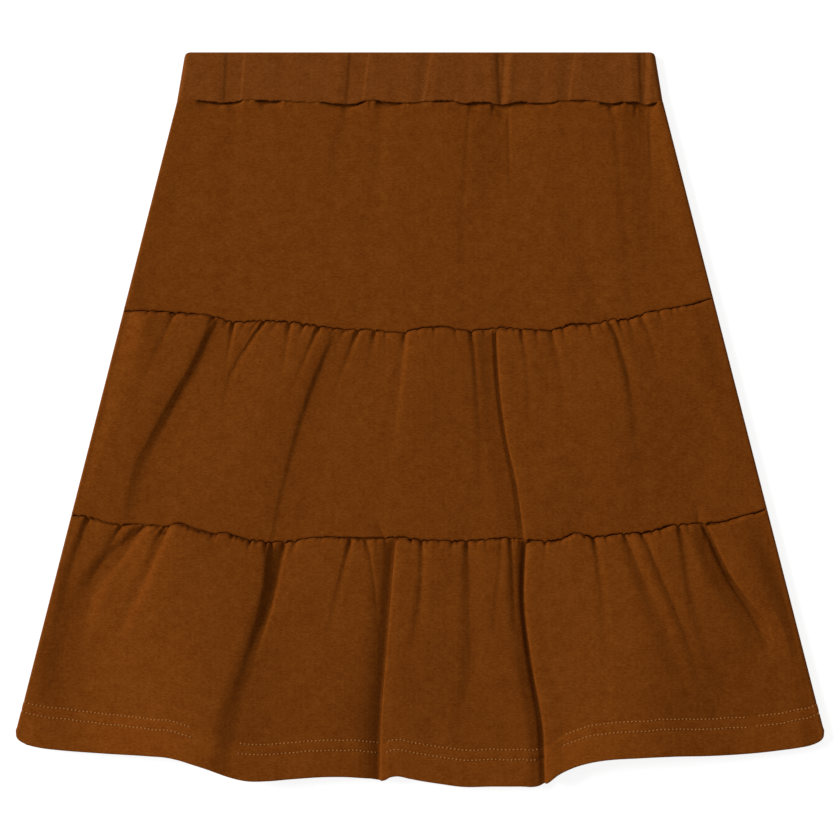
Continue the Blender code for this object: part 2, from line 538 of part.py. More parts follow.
def main():
    for old in list(bpy.data.objects):
        bpy.data.objects.remove(old, do_unlink=True)
    skirt = bpy.data.collections.new("tiered_ruffle_skirt")
    bpy.context.scene.collection.children.link(skirt)
    origin = bpy.data.objects.new("skirt_origin", None)
    skirt.objects.link(origin)
    pieces = [waistband()]
    for tier, front_rows, back_rows in zip(TIERS, FRONT_ROWS, BACK_ROWS):
        pieces.append(front_panel(tier, front_rows))
        pieces.append(back_panel(tier, back_rows))
    for piece in pieces:
        piece.parent = origin
        skirt.objects.link(piece)
        piece.data.shade_smooth()


main()
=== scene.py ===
"""Looks of a tiered ruffle skirt in brown jersey, laid flat with its front up.

The tables are in millimetres, in two measures on the surface that the skirt lies on:
  across  from the centre line, + to the right as the skirt lies
  down    from the top edge of the waistband
A piece of cloth is a grid of points in these and in height, which becomes a mesh in metres with the waist
towards +Y. In a grid's arrays a row runs across the skirt and a column runs down it.
"""

from collections import namedtuple
import math

import bpy
from bpy.props import FloatProperty, FloatVectorProperty, PointerProperty
import numpy as np
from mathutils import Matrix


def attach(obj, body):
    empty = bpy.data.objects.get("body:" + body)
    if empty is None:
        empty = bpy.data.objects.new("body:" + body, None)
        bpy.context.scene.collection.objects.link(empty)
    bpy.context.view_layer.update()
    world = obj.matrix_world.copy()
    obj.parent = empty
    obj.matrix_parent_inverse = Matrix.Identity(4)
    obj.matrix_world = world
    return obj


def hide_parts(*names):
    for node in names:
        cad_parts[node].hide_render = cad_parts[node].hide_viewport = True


bl_info = {
    "name": "Tiered ruffle skirt",
    "version": (1, 0, 0),
    "blender": (4, 5, 0),
    "location": "View3D > Sidebar > Skirt",
    "description": "Cloth, stitching and setting of a tiered ruffle skirt laid flat",
    "category": "Object",
}

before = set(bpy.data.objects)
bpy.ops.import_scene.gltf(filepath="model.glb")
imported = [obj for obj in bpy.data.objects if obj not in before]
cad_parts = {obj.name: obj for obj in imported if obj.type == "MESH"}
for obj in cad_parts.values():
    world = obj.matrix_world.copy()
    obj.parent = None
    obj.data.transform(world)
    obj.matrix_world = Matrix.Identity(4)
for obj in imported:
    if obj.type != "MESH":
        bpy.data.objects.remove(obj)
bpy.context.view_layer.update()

MM = 0.001
LENGTH = 411.0
SIDE_AT_SEAM = 136.1      # half the width where the skirt leaves the waistband
SIDE_FLARE = 0.2556       # gain of half width for each millimetre down
SIDE_CORNER = 380.5       # down, where the side turns into the hem
BAND_HEIGHT = 27.4
BAND_HALF_TOP = 131.6     # half its width along its top edge
BAND_WALL = 2.8           # casing and elastic together
BAND_HOLLOW = 0.5         # between its front and its back
BAND_FACE = 5.0           # its outer face at the front lies above this height
HEM_DEPTH = 21.0
HALF_WALL = 0.6           # from the middle of a front panel's wall out to its face
BACK_WALL = 0.7           # thickness of a back panel's cloth, and the rounding of its edges
BACK_RELIEF = 0.7         # the most that a back panel's dips lift it off the surface

# Heights of the middle of the wall above the surface, mm
REST_LEVEL = 2.1
SEAM_LEVEL = 2.5          # a gathered edge in its seam
SIDE_LEVEL = 5.2          # a front panel at its sides
SIDE_DROP = 2.05          # half the height of its turn down to the side seam
SIDE_TURN = 0.75          # and how far that reaches inwards
SEAM_GAP = 0.15           # a back panel starts this far below its seam, and the casing ends this far above
TUCK = 2.0                # a gathered edge runs this far under the tier above
PUFF_LENGTH = 2.4         # and reaches its full height this far below the seam
SCALLOP = 2.0             # how far a gather draws the seam down
SIDE_REACH = 14.0         # a front panel comes to its level at the sides over this width
ROLL_ANGLES = (78, 66, 54, 42, 30, 18, 6, -12, -42, -72)     # of the columns that turn down to the side seam

RAIL_GAP = 1.5            # least distance between two paths that the columns follow
SWELL_REACH = 12.0        # from a crease to the top of the swell beside it
BROAD_REACH = 20.0        # a crease that reaches further to the right is the foot of a broad slope
LAP_BEFORE = 1.2          # the S of a lapped crease starts this far before its edge
LAP_AFTER = 10.0          # and ends this far past it
LAP_RADIUS = 0.8
LAP_LENGTH = 2.0          # a lap opens over this length at a seam
LAP_SLIT = 0.45           # the part of a lap's dip that is the slit beside its edge
GATHER_DIP = 2.4          # how far the cloth dips at a gather of depth 1
PUCKER_DIP = 2.2          # and at a pucker of depth 1
CREVICE_DIP = 2.9         # and in a crevice of drop 1
FOOT_DIP = 0.5            # and at the foot of the tier above a gather of depth 1
FOOT_DIP_REACH = 2.2
BAND_RISE = 0.6           # how far the top tier rises to the waistband
BAND_RISE_REACH = 3.5
CREASE_KEPT = 0.6         # the part of a crease that is left in a seam at its foot
CREASE_KEPT_REACH = 9.0
PANEL_WAVES = ((0.20, 28, 80), (0.05, 10, 26))     # unevenness of a panel: (height, shortest, longest wave)

# Seams and hem: (across, down)
WAIST_SEAM = (
    (-137, 27.4), (-124.3, 27.2), (-113.1, 28.3), (-106.4, 28.3), (-100.8, 27.4), (-95.2, 26.9),
    (-84.0, 27.4), (-77.3, 27.4), (-61.6, 28.5), (-54.9, 28.3), (-43.7, 29.4), (-36.4, 29.1), (-31.4, 27.7),
    (-26.9, 27.2), (-16.8, 28.3), (0, 28.3), (7.8, 27.4), (19.6, 27.7), (25.2, 28.8), (33.6, 28.0),
    (39.2, 28.3), (43.7, 29.6), (49.3, 29.2), (53.8, 28.0), (61.6, 28.6), (72.8, 28.6), (78.4, 27.7),
    (88.5, 27.2), (99.7, 28.0), (106.4, 29.1), (114.2, 28.0), (121.0, 28.3), (126.6, 29.5), (131.0, 28.6),
    (137, 28.9))
BACK_WAIST_SEAM = ((-137, 27.6), (0, 27.6), (137, 27.6))
UPPER_SEAM = (
    (-168, 145.3), (-154.0, 145.1), (-130.5, 146.4), (-115.4, 148.1), (-104.7, 150.9), (-88.5, 150.4),
    (-68.9, 151.5), (-58.2, 153.2), (-40.3, 155.4), (-26.9, 155.4), (-10.1, 157.1), (0, 154.8),
    (16.8, 154.3), (24.1, 156.0), (35.8, 155.4), (44.8, 154.3), (59.9, 155.4), (75.0, 155.4), (84.0, 152.6),
    (101.9, 151.5), (106.4, 149.8), (114.2, 149.8), (127.7, 145.9), (143.9, 143.1), (168, 137.0))
LOWER_SEAM = (
    (-196, 259.5), (-185.9, 260.1), (-173.6, 264.0), (-155.7, 264.6), (-142.2, 265.2), (-133.3, 264.0),
    (-126.0, 266.8), (-115.4, 269.6), (-106.4, 269.6), (-100.2, 271.9), (-85.1, 274.1), (-70.0, 273.6),
    (-58.2, 271.9), (-40.3, 271.9), (-23.0, 272.4), (-13.0, 271.4), (0, 273.0), (35.8, 273.0),
    (48.2, 271.9), (59.9, 273.0), (79.5, 272.4), (85.7, 269.6), (97.4, 271.3), (112.6, 269.6),
    (127.7, 268.5), (139.4, 265.2), (154.6, 264.0), (169.7, 262.9), (179.8, 260.1), (196, 255.6))
HEM = (
    (-226.4, 380.5), (-226.2, 382.3), (-225.4, 384.0), (-223.8, 385.6), (-221.2, 386.9), (-218.4, 387.9),
    (-212.8, 389.1), (-201.6, 390.5), (-179.2, 392.1), (-151.2, 393.1), (-140.0, 393.8), (-134.4, 394.9),
    (-126.6, 397.2), (-117.6, 400.1), (-106.4, 404.5), (-98.0, 406.6), (-84.0, 406.9), (-72.8, 406.0),
    (-50.0, 404.8), (-39.0, 405.1), (-28.0, 406.1), (-19.5, 406.8), (-17.0, 405.4), (-13.4, 404.7),
    (-5.6, 406.1), (0, 407.2), (11.2, 409.0), (24.0, 410.7), (40.0, 410.6), (56.0, 410.6), (67.2, 410.2),
    (71.7, 408.0), (76.2, 404.4), (84.0, 400.2), (95.2, 396.5), (100.8, 395.4), (123.2, 393.6),
    (142.0, 393.0), (159.6, 393.1), (190.4, 391.6), (201.6, 390.3), (212.8, 388.8), (218.4, 387.8),
    (221.2, 386.9), (223.8, 385.6), (225.4, 384.0), (226.2, 382.3), (226.4, 380.5))
# Factor on the distances of the rows above the hem: (across, factor)
HEM_GROWTH = (
    (-226.4, 1.18), (-202, 1.18), (-178, 1.10), (-150, 1.02), (-120, 1.0), (200, 1.0), (226.4, 1.08))
NO_GROWTH = ((-240, 1.0), (0, 1.0), (240, 1.0))
# Where a panel's rows lie close, below its top and above its foot. The hem's hold both rows of stitches.
TUCKED_ROWS = (-TUCK, -0.9, -0.3)      # of a gathered edge, above its seam
COVERED_ROWS = (-1.2, -0.6)            # of the top tier, under the waistband
TOP_ROWS = (0.0, 0.12, 0.3, 0.55, 0.85, 1.2, 1.65, 2.2, 3.0, 4.0, 5.2, 6.6, 8.2, 10.0, 12.0, 14.2)
FOOT_ROWS = (0.0, 0.05, 0.2, 0.42, 0.7, 1.1, 1.8, 2.8, 4.2)
HEM_ROWS = (6.5, 9.0, 11.5, 13.6, 14.5, 15.1, 15.7, 16.6, 18.2, 19.6, 20.3, 20.7, 21.1, 21.7, 22.6)
BACK_TOP_ROWS = (SEAM_GAP, 0.2, 0.35, 0.6, 1.0, 1.6, 2.4, 3.4, 5.0, 7.0, 9.5, 12.5, 16.0)
BACK_HEM_ROWS = (7.0, 10.0, 13.0, 14.6, 15.1, 15.6, 17.8, 20.2, 20.7, 21.2)
# The turned hem's colour is painted paler, as painted light that brightens the hem band.
PAINTED_HEM_LIGHT_MARK = "turned hem"          # the mark of a mesh's points where the hem is turned
HEM_PAINTED_LIGHT = 1.09                # painted light: how much paler the turned hem's colour is made than the single cloth, to brighten it
STITCH_HEIGHTS = (15.1, 20.7)      # of the two rows of stitches above the hem
STITCH_WANDER = 0.22               # how far a row wanders from its height
STITCH_SHOWS = 0.25                # a stitch shows where its row runs across by more than this
STITCH_PROUD = {1: 0.1, -1: -0.62}       # of the cloth, in its own widths, on the front and on the back
STITCHES_SUNK = ((-127, -101), (-23.5, -18.5), (66, 80), (183, 188))     # hidden in folds: (from, to) across
BACK_HEM = (
    (-226.4, 380.5), (-224.4, 384.6), (-212, 387.2), (-150, 391.4), (0, 399.0), (150, 391.0), (212, 386.8),
    (224.4, 384.6), (226.4, 380.5))

# Creases that run down a tier. path is the place across at the top, quarter, half, three quarters and foot
# of the tier, and strength is how much of the crease there is there. depth is how far the cloth dips into
# it, reach how far it takes to come back on the left and on the right, and swell the rise of the cloth
# beside it on either side, or its fall if negative. floor is how wide its bottom is, to the right. A crease
# with a lap folds over itself: its right side lies step above the panel and hides lap of the cloth below,
# and its floor is the width of the slit beside its edge.
Crease = namedtuple("Crease", "name path strength depth reach swell floor lap step", defaults=(0.0, 0.0, 0.0))


def creases(*rows):
    """Creases from the rows of a table."""
    return tuple(Crease(*row) for row in rows)


TOP_CREASES = creases(
    ("left_soft", (-103, -106, -109, -110, -106), (0.5, 0.5, 0.6, 0.8, 1.0), 0.4, (9, 9), (0.2, -0.2)),
    ("centre_left", (-42, -46, -50, -54, -58), (1.0, 0.8, 0.6, 0.4, 0.3), 0.4, (9, 10), (0.3, -0.3)),
    ("centre", (-22, -24, -27, -30, -33), (0.7, 0.8, 0.7, 0.5, 0.3), 0.5, (8, 8), (0.2, -0.2)),
    ("pinch", (27, 25, 23, 23, 24), (0.7, 0.5, 0.3, 0.2, 0.2), 0.6, (2.6, 4), (0.3, -0.3)),
    ("pinch_slope", (49.0, 49.2, 50, 51, 52), (1.0, 0.7, 0.3, 0.2, 0.2), 1.7, (24, 20), (0, 0)),
    ("pinch_edge", (48.6, 49.4, 50, 51, 52), (1.0, 0.5, 0.0, 0.0, 0.0), 1.0, (1.9, 1.3), (0, 0)),
    ("right_soft", (78, 82, 86, 92, 98), (0.7, 0.6, 0.5, 0.6, 0.9), 0.5, (9, 9), (0.3, -0.2)),
    ("side_pinch", (108, 110, 113, 116, 118), (0.7, 0.5, 0.4, 0.3, 0.2), 0.6, (4, 5), (0.3, -0.2)),
    ("side_slope", (127.4, 129.0, 131, 134, 138), (1.0, 0.8, 0.4, 0.2, 0.1), 1.7, (20, 14), (0, 0)),
    ("side_edge", (127.8, 128.8, 130, 134, 138), (1.0, 0.4, 0.0, 0.0, 0.0), 1.0, (2, 1.4), (0, 0)),
)
MIDDLE_CREASES = creases(
    ("side_faint", (-137, -151, -165, -176, -183), (0.8, 0.4, 0.2, 0.1, 0.0), 0.6, (4, 5), (0.3, -0.2)),
    ("long_left", (-115.5, -128.8, -145.6, -160.4, -166.0), (0.9, 1.0, 0.9, 0.55, 0.3),
     1.9, (3.2, 55), (1.3, -0.5)),
    ("slant_a", (-104.5, -110, -114, -122, -128), (1.0, 0.0, 0.0, 0.0, 0.0), 1.3, (3, 3), (0.3, -0.2)),
    ("slant_b", (-87.4, -106, -111, -115, -120), (1.0, 0.5, 0.0, 0.0, 0.0), 1.4, (3.4, 3), (0.6, -0.5)),
    ("slant_c", (-72.8, -78, -84, -90, -95), (1.0, 0.15, 0.0, 0.0, 0.0), 1.1, (4, 3), (0.3, -0.3)),
    ("slant_d", (-56.5, -69, -79, -86, -90), (1.0, 0.2, 0.0, 0.0, 0.0), 1.3, (3, 3), (0.4, -0.3)),
    ("long_centre", (-48.2, -60.0, -70.0, -78.0, -84.6), (0.6, 1.0, 0.7, 0.5, 0.4),
     1.1, (2.4, 50), (1.0, -0.4)),
    ("slant_e", (-34.7, -46, -54, -60, -64), (1.0, 0.25, 0.0, 0.0, 0.0), 1.2, (3.4, 3), (0.4, -0.4)),
    ("slant_f", (-25.2, -31.5, -37, -42, -46), (1.0, 0.3, 0.0, 0.0, 0.0), 1.0, (3, 3), (0.3, -0.3)),
    ("middle_edge", (-8.4, -11.5, -15, -19, -23), (1.0, 0.55, 0.25, 0.15, 0.1), 1.3, (7, 2.2), (-0.4, 0.4)),
    ("sunk_edge", (28.6, 30.6, 32.6, 34.0, 35.0), (1.0, 0.8, 0.5, 0.2, 0.0), 1.0, (3, 4), (0.4, -0.9)),
    ("lapped", (42.6, 44.2, 47.8, 54.2, 58.4), (1.0, 1.0, 1.0, 1.0, 1.0),
     2.7, (14, 36), (0, 0), 1.4, 3.0, 1.4),
    ("beside_lap", (56.6, 59.5, 61, 63, 65), (1.0, 0.4, 0.0, 0.0, 0.0), 0.8, (3, 4), (0.2, -0.3)),
    ("right_a", (73.4, 78, 82, 86, 88), (1.0, 0.35, 0.0, 0.0, 0.0), 0.8, (5, 5), (0.2, -0.3)),
    ("long_right", (105.5, 114.5, 119, 122, 125), (1.0, 0.85, 0.35, 0.1, 0.0), 1.5, (3.6, 6), (0.4, -1.2)),
    ("right_faint", (124, 132, 140, 148, 155), (0.9, 0.3, 0.1, 0.0, 0.0), 0.8, (4, 4), (0.2, -0.2)),
    ("foot_pinch_a", (-25, -25, -26, -31, -21), (0.0, 0.0, 0.0, -0.9, 1.0), 1.1, (2.6, 3), (0.3, -0.3)),
    ("foot_pinch_b", (130, 136, 142, 152, 155), (0.0, 0.0, 0.0, -1.2, 1.0), 1.5, (2.6, 3), (0.3, -0.3)),
)
BOTTOM_CREASES = creases(
    ("edge_left", (-185.4, -197.0, -203, -209.6, -214), (1.0, 0.7, 0.3, 0.0, 0.0),
     1.9, (7, 16), (0.2, -0.2)),
    ("left_a", (-166.9, -184, -193.8, -199.4, -203.8), (0.5, 0.2, 0.0, 0.0, 0.0), 1.3, (6, 7), (0.3, -0.3)),
    ("left_b", (-153.5, -179, -189, -195, -199), (1.0, 1.0, 0.2, 0.0, 0.0), 2.6, (12, 6), (0.3, 0.2)),
    ("left_c", (-141.0, -154.5, -168, -174, -178), (1.0, 0.7, 0.1, 0.0, 0.0), 2.2, (8, 4), (-0.5, 0.9)),
    ("valley", (-86.0, -89.0, -99.0, -108.0, -112.0), (1.0, 0.85, 0.3, 0.0, 0.0),
     2.5, (3.2, 70), (0.5, 0.0)),
    ("valley_foot", (-86, -92, -101, -111, -116), (0.0, 0.2, 0.8, 1.0, 0.7), 2.5, (13, 60), (0.0, 0.0)),
    ("pocket", (-83.0, -87.5, -95.0, -102, -106), (1.0, 0.6, 0.05, 0.0, 0.0),
     0.8, (2.6, 14), (0.0, 0.0), 7.0),
    ("pocket_edge", (-75.5, -83.0, -93, -101, -105), (1.0, 0.75, 0.0, 0.0, 0.0), 2.2, (9, 1.8), (0.0, 0.0)),
    ("centre_a", (-39.0, -47.0, -54.0, -58.0, -62.0), (1.0, 0.5, 0.0, 0.0, 0.0),
     1.8, (2.6, 3), (0.3, -0.4)),
    ("centre_b", (-30.2, -25.4, -23.5, -24, -25), (0.8, 0.25, 0.0, 0.0, 0.0), 1.3, (3, 3), (0.2, -0.4)),
    ("lapped_left", (-13.4, -16.2, -19, -21.8, -22.4), (1.0, 1.0, 1.0, 1.0, 1.0),
     3.2, (12, 26), (0, 0), 6.0, 3.4, 1.2),
    ("centre_c", (1.0, -0.8, -6.0, -9, -12), (0.8, 0.8, 0.1, 0.0, 0.0), 1.2, (4, 6), (0.0, 0.2)),
    ("centre_d", (26.3, 26.5, 27.5, 22.0, 17), (1.0, 0.8, 0.6, 0.3, 0.0), 1.3, (6, 12), (0.4, -0.2)),
    ("centre_e", (45.4, 42.4, 37, 33, 30), (0.5, 0.5, 0.0, 0.0, 0.0), 0.9, (3, 3), (0.2, -0.2)),
    ("beside_lap", (50.4, 51.5, 53, 56, 58), (1.0, 0.4, 0.0, 0.0, 0.0), 1.2, (3.4, 3), (0.3, -0.2)),
    ("lapped_right", (59.4, 58.4, 62.6, 68.6, 70), (1.0, 1.0, 1.0, 1.0, 1.0),
     3.9, (9, 80), (0, 0), 2.6, 4.0, 1.3),
    ("right_a", (97, 100.6, 102, 103, 104.2), (1.0, 0.45, 0.2, 0.1, 0.0), 1.4, (3.6, 5), (0.3, -0.4)),
    ("right_b", (114.2, 126, 138, 147, 152), (0.9, 0.8, 0.4, 0.1, 0.0), 1.8, (8, 6), (0.3, -0.4)),
    ("right_c", (124, 135.5, 148, 156, 162), (0.8, 0.7, 0.3, 0.0, 0.0), 1.4, (4, 6), (0.3, -0.4)),
    ("right_d", (144.6, 148.6, 156, 164, 170), (1.0, 0.55, 0.2, 0.0, 0.0), 1.5, (4, 9), (0.3, -0.5)),
    ("lapped_side", (159.6, 174.4, 193.0, 200.0, 203.0), (1.0, 1.0, 0.62, 0.0, 0.0),
     5.8, (14, 16), (0, 0), 3.2, 1.4, 1.2),
)

# Gathers held in a seam: (across at the seam, depth, how far down it fades)
MIDDLE_GATHERS = (
    (-152, 0.4, 3), (-139, 0.5, 3), (-108, 0.6, 4), (-98, 0.5, 4), (-91, 0.6, 5), (-80, 0.6, 5),
    (-65, 0.8, 5), (-42, 0.5, 5), (-19, 0.4, 4), (-1, 0.3, 3), (8, 0.4, 3), (20, 0.5, 4), (36, 0.3, 3),
    (49, 0.6, 4), (53, 0.4, 3), (65, 0.6, 4), (72, 0.4, 4), (80, 0.6, 6), (88, 0.5, 4), (95, 0.7, 5),
    (101, 0.5, 4), (111, 0.8, 8), (117, 0.6, 8), (123, 0.5, 4), (134, 0.5, 5), (141, 0.4, 3), (150, 0.3, 3))
BOTTOM_GATHERS = (
    (-167, 0.8, 5), (-146, 0.6, 4), (-143, 0.9, 7), (-116, 0.6, 3), (-114, 0.5, 4), (-105, 0.6, 3),
    (-95, 0.7, 4), (-91, 0.4, 3), (-76, 0.5, 3), (-70, 0.8, 4), (-55, 0.4, 3), (-45, 0.4, 3), (-24, 0.4, 3),
    (-19, 0.4, 3), (-5, 0.9, 5), (4.5, 0.5, 3), (11, 0.3, 2), (18, 0.6, 4), (32, 0.4, 3), (37, 0.6, 4),
    (53, 0.4, 4), (56, 0.3, 4), (70, 0.9, 5), (79, 0.5, 3), (82.5, 0.3, 6), (92, 0.4, 2), (104, 0.5, 3),
    (117, 0.5, 6), (130, 0.5, 3), (134.5, 0.5, 3), (150, 0.5, 4), (168, 0.3, 3))
GATHER_REACH = 3.2

# Broad swells of a panel: (across, down, half width, half height, rise)
TOP_SWELLS = ((-10, 90, 30, 60, 0.5), (100, 90, 25, 50, 0.5))
MIDDLE_SWELLS = (
    (-156, 153, 10, 16, 1.8), (-100, 215, 24, 60, 0.7), (106, 200, 38, 66, 3.0), (0, 225, 22, 60, 0.7))
BOTTOM_SWELLS = (
    (-117, 380, 44, 82, 9.5), (-190, 334, 26, 60, -3.8), (-167, 283, 15, 22, -3.4), (-56, 376, 38, 76, 3.2),
    (12, 374, 26, 76, 1.4), (124, 380, 42, 90, 8.5), (172, 300, 20, 44, 0.5))

# Where the top tier drops away under the waistband's edge: (from, to, drop)
WAIST_CREVICES = (
    (-125, -99, 1.2), (-92, -77, 1.4), (-77, -56, 0.3), (-56, -30, 1.4), (-25, -9, 1.4), (-9, 7, 0.3),
    (7, 20, 0.8), (20, 41, 1.1), (40, 52, 1.9), (54, 78, 0.8), (78, 100, 0.6), (100, 115, 1.2),
    (115, 133, 1.6))

# Short puckers of the top tier at the waistband: (across, depth, how far down they fade)
WAIST_PUCKERS = (
    (-96, 0.3, 2), (-74, 0.3, 2), (-28, 0.4, 3), (-8, 0.3, 2), (20, 0.4, 2), (40.8, 0.8, 5), (46.6, 0.9, 5),
    (53, 0.5, 2), (58, 0.4, 2), (91, 0.4, 2), (107, 0.6, 3), (112, 0.5, 3), (120.8, 0.8, 5),
    (126.4, 0.8, 4))

# Folds that the elastic makes in the waistband: (across at its top, at its foot, half width, rise)
BAND_FRONT_FOLDS = (
    (-113, -115, 4, 0.25), (-88, -90, 6, 0.15), (-76, -77, 4, -0.12), (-44, -46, 4, 0.25),
    (-13, -14, 5, -0.15), (10, 7, 4, 0.2), (26, 25, 5, -0.12), (39, 40, 3, 0.3), (52, 50, 2.5, 0.25),
    (68, 67, 5, -0.12), (91, 88, 3, 0.15), (106, 106, 5, -0.12), (118, 119, 3, 0.25))
BAND_BACK_FOLDS = (
    (-120, -118, 4, 0.4), (-97, -99, 3, 0.5), (-72, -70, 5, 0.4), (-49, -51, 3, 0.5), (-25, -24, 4, 0.4),
    (2, 0, 3, 0.5), (27, 29, 4, 0.4), (52, 50, 3, 0.5), (78, 79, 5, 0.4), (101, 99, 3, 0.5),
    (121, 123, 4, 0.4))

# Sunken strips of the waistband's front. A row is the across of the strip's left edge at the top and at the
# foot, the same of its right edge, the widths of the slopes into it and out of it, and its depth.
BAND_STRIPS = (
    (-109.6, -111.3, -97.4, -99.7, 2.4, 1.2, 0.5), (-40.4, -42.6, -28.0, -31.4, 2.0, 1.2, 0.5),
    (-2.0, -5.0, 7.3, 2.2, 6.0, 1.2, 0.45), (41.2, 42.5, 51.0, 49.6, 3.0, 5.0, 1.0),
    (46.2, 44.2, 51.0, 49.6, 1.4, 4.0, 0.35), (76.0, 74.0, 87.4, 84.0, 8.0, 1.2, 0.4),
    (120.8, 122.1, 130.0, 129.0, 3.0, 5.0, 1.0), (125.0, 124.3, 130.5, 129.5, 1.4, 4.0, 0.35))
TACK = ((2.5, 14.8), (1.9, 27.0))     # the ends of the short tack down the waistband
TACK_COUNT = 11
TACK_STITCH = (1.3, 0.4)              # length and width of each of its stitches
TACK_SWAY = 0.45                      # of the stitches to either side
TACK_TURN = 0.55                      # of the stitches to either side, in radians

# A tier, with its front's and its back's edges. levels are the heights of its front wall's middle at the
# top, quarter, half, three quarters and foot.
Tier = namedtuple("Tier", "name top foot back_top back_foot creases gathers swells levels gathered")
TIERS = (
    Tier("top_tier", WAIST_SEAM, UPPER_SEAM, BACK_WAIST_SEAM, UPPER_SEAM, TOP_CREASES, (), TOP_SWELLS,
         (4.6, 4.6, 4.6, 4.5, 4.3), False),
    Tier("middle_tier", UPPER_SEAM, LOWER_SEAM, UPPER_SEAM, LOWER_SEAM, MIDDLE_CREASES, MIDDLE_GATHERS,
         MIDDLE_SWELLS, (6.3, 6.5, 6.0, 5.4, 4.6), True),
    Tier("bottom_tier", LOWER_SEAM, HEM, LOWER_SEAM, BACK_HEM, BOTTOM_CREASES, BOTTOM_GATHERS,
         BOTTOM_SWELLS, (6.6, 7.2, 6.9, 6.2, 7.2), True),
)


# ---------------------------------------------------------------- curves and profiles

def smooth_through(table, x):
    """Read at x the smooth curve through a table's points."""
    xs, ys = np.array(table, float).T
    x = np.clip(x, xs[0], xs[-1])
    slopes = np.gradient(ys, xs)
    k = np.clip(np.searchsorted(xs, x) - 1, 0, len(xs) - 2)
    width = xs[k + 1] - xs[k]
    t = (x - xs[k]) / width
    rise = ys[k + 1] - ys[k]
    leaving = slopes[k] * width - rise
    arriving = rise - slopes[k + 1] * width
    return ys[k] + rise * t + t * (1 - t) * (leaving * (1 - t) + arriving * t)


def down_a_tier(values, part):
    """Read five values, set at even steps down a tier, at a part of its height."""
    return smooth_through(np.column_stack([np.linspace(0, 1, 5), values]), part)


def smoothstep(t):
    """0 up to 0 and 1 from 1 on, with a smooth rise between."""
    t = np.clip(t, 0, 1)
    return t * t * (3 - 2 * t)


def dip(distance, reach):
    """1 in the middle of a crease, falling to 0 at its reach; sharp in the middle if its reach is short."""
    u = np.clip(distance / reach, 0, 1)
    soft = np.clip((reach - 3.5) / 5, 0, 1)
    return (1 - u) ** 2 * (1 + 2 * u * soft)


def hump(distance, reach):
    """0 at a crease, 1 at its reach and fading past it."""
    u = np.maximum(distance, 0) / reach
    return u * np.exp(1 - u)


def keep_above(height, floor, softness=0.2):
    """Bend a height up smoothly where it would go below the floor."""
    over = height - floor
    return floor + (over + np.sqrt(over * over + softness * softness)) / 2


def edge_drop(distance, radius):
    """How far a rounded edge of that radius has dropped at a distance in from the edge."""
    left = np.clip(1 - distance / radius, 0, 1)
    return radius * (1 - np.sqrt(1 - left * left))


def half_width(down):
    """Half the width of the laid skirt."""
    return SIDE_AT_SEAM + (np.minimum(down, SIDE_CORNER) - BAND_HEIGHT) * SIDE_FLARE


def unevenness(across, down, seed, shortest, longest, waves=14):
    """A gentle random waviness of height about 1, the same for the same seed."""
    random = np.random.default_rng(seed)
    total = np.zeros_like(across)
    for _ in range(waves):
        length = random.uniform(shortest, longest)
        turn = random.uniform(0, math.pi)
        start = random.uniform(0, 2 * math.pi)
        total += np.sin(2 * math.pi * (across * math.cos(turn) + down * math.sin(turn)) / length + start)
    return total / math.sqrt(waves)


def mean_length(top, foot):
    """How long a panel is from its top edge to its foot, as a mean of their points."""
    return np.mean([down for across, down in foot]) - np.mean([down for across, down in top])


def spaced_rows(near, step, far, length):
    """Rows down a piece, near its top and its foot as given and about a step apart between.

    A row is a share of the piece's height, mm below its top to add and mm above its foot to take away.
    """
    count = max(round((length - near[-1] - far[-1]) / step), 2)
    between = np.linspace(0, 1, count + 1)[1:-1]
    rows = [(0.0, d, 0.0) for d in near]
    rows += [(s, (1 - s) * near[-1], s * far[-1]) for s in between]
    return np.array(rows + [(1.0, 0.0, d) for d in reversed(far)])


# ---------------------------------------------------------------- the grid of a panel

# The columns of a front panel, each an array. at is a column's place across the tier's top, lap the number of
# the lapped crease it belongs to or -1, side -1 or 1 in a side roll or 0, and angle how far the cloth's face
# is turned up from the side, in radians.
Columns = namedtuple("Columns", "at lap side angle")

# The grid on the plane, each an array of rows by columns; part is the part of the tier's height of each row
Grid = namedtuple("Grid", "at across part down below_top above_foot")


def lap_profile(lap):
    """The S of a lapped crease from left to right: across from its visible edge, and height from 0 to 1."""
    edge = lap / 2 + LAP_RADIUS + 0.5
    turn = np.radians(np.linspace(-90, 90, 9))
    lower = np.column_stack([np.linspace(-LAP_BEFORE, edge + lap / 2, 9)[:-1], np.zeros(8)])
    first = np.column_stack([edge + lap / 2 + LAP_RADIUS * np.cos(turn), LAP_RADIUS * (1 + np.sin(turn))])
    second = np.column_stack([edge - lap / 2 - LAP_RADIUS * np.cos(turn), LAP_RADIUS * (3 + np.sin(turn))])
    between = np.linspace(first[-1], second[0], 6)[1:-1]
    upper = np.column_stack([np.linspace(edge - lap / 2, LAP_AFTER, 10)[1:], np.full(9, 4 * LAP_RADIUS)])
    profile = np.concatenate([lower, first, between, second, upper]) / (1, 4 * LAP_RADIUS)
    profile[:, 1] *= 1 - 0.1 * (1 - smoothstep(profile[:, 0] / 5.5)) * (profile[:, 1] > 0.5)
    return profile


def side_rails(tier):
    """Paths of the two columns where the turns down to the side seams start."""
    rails = []
    for side, end in ((-1, 0), (1, -1)):
        down = np.linspace(tier.top[end][1], tier.foot[end][1], 5)
        rails.append(side * (half_width(down) - SIDE_TURN - HALF_WALL))
    return rails


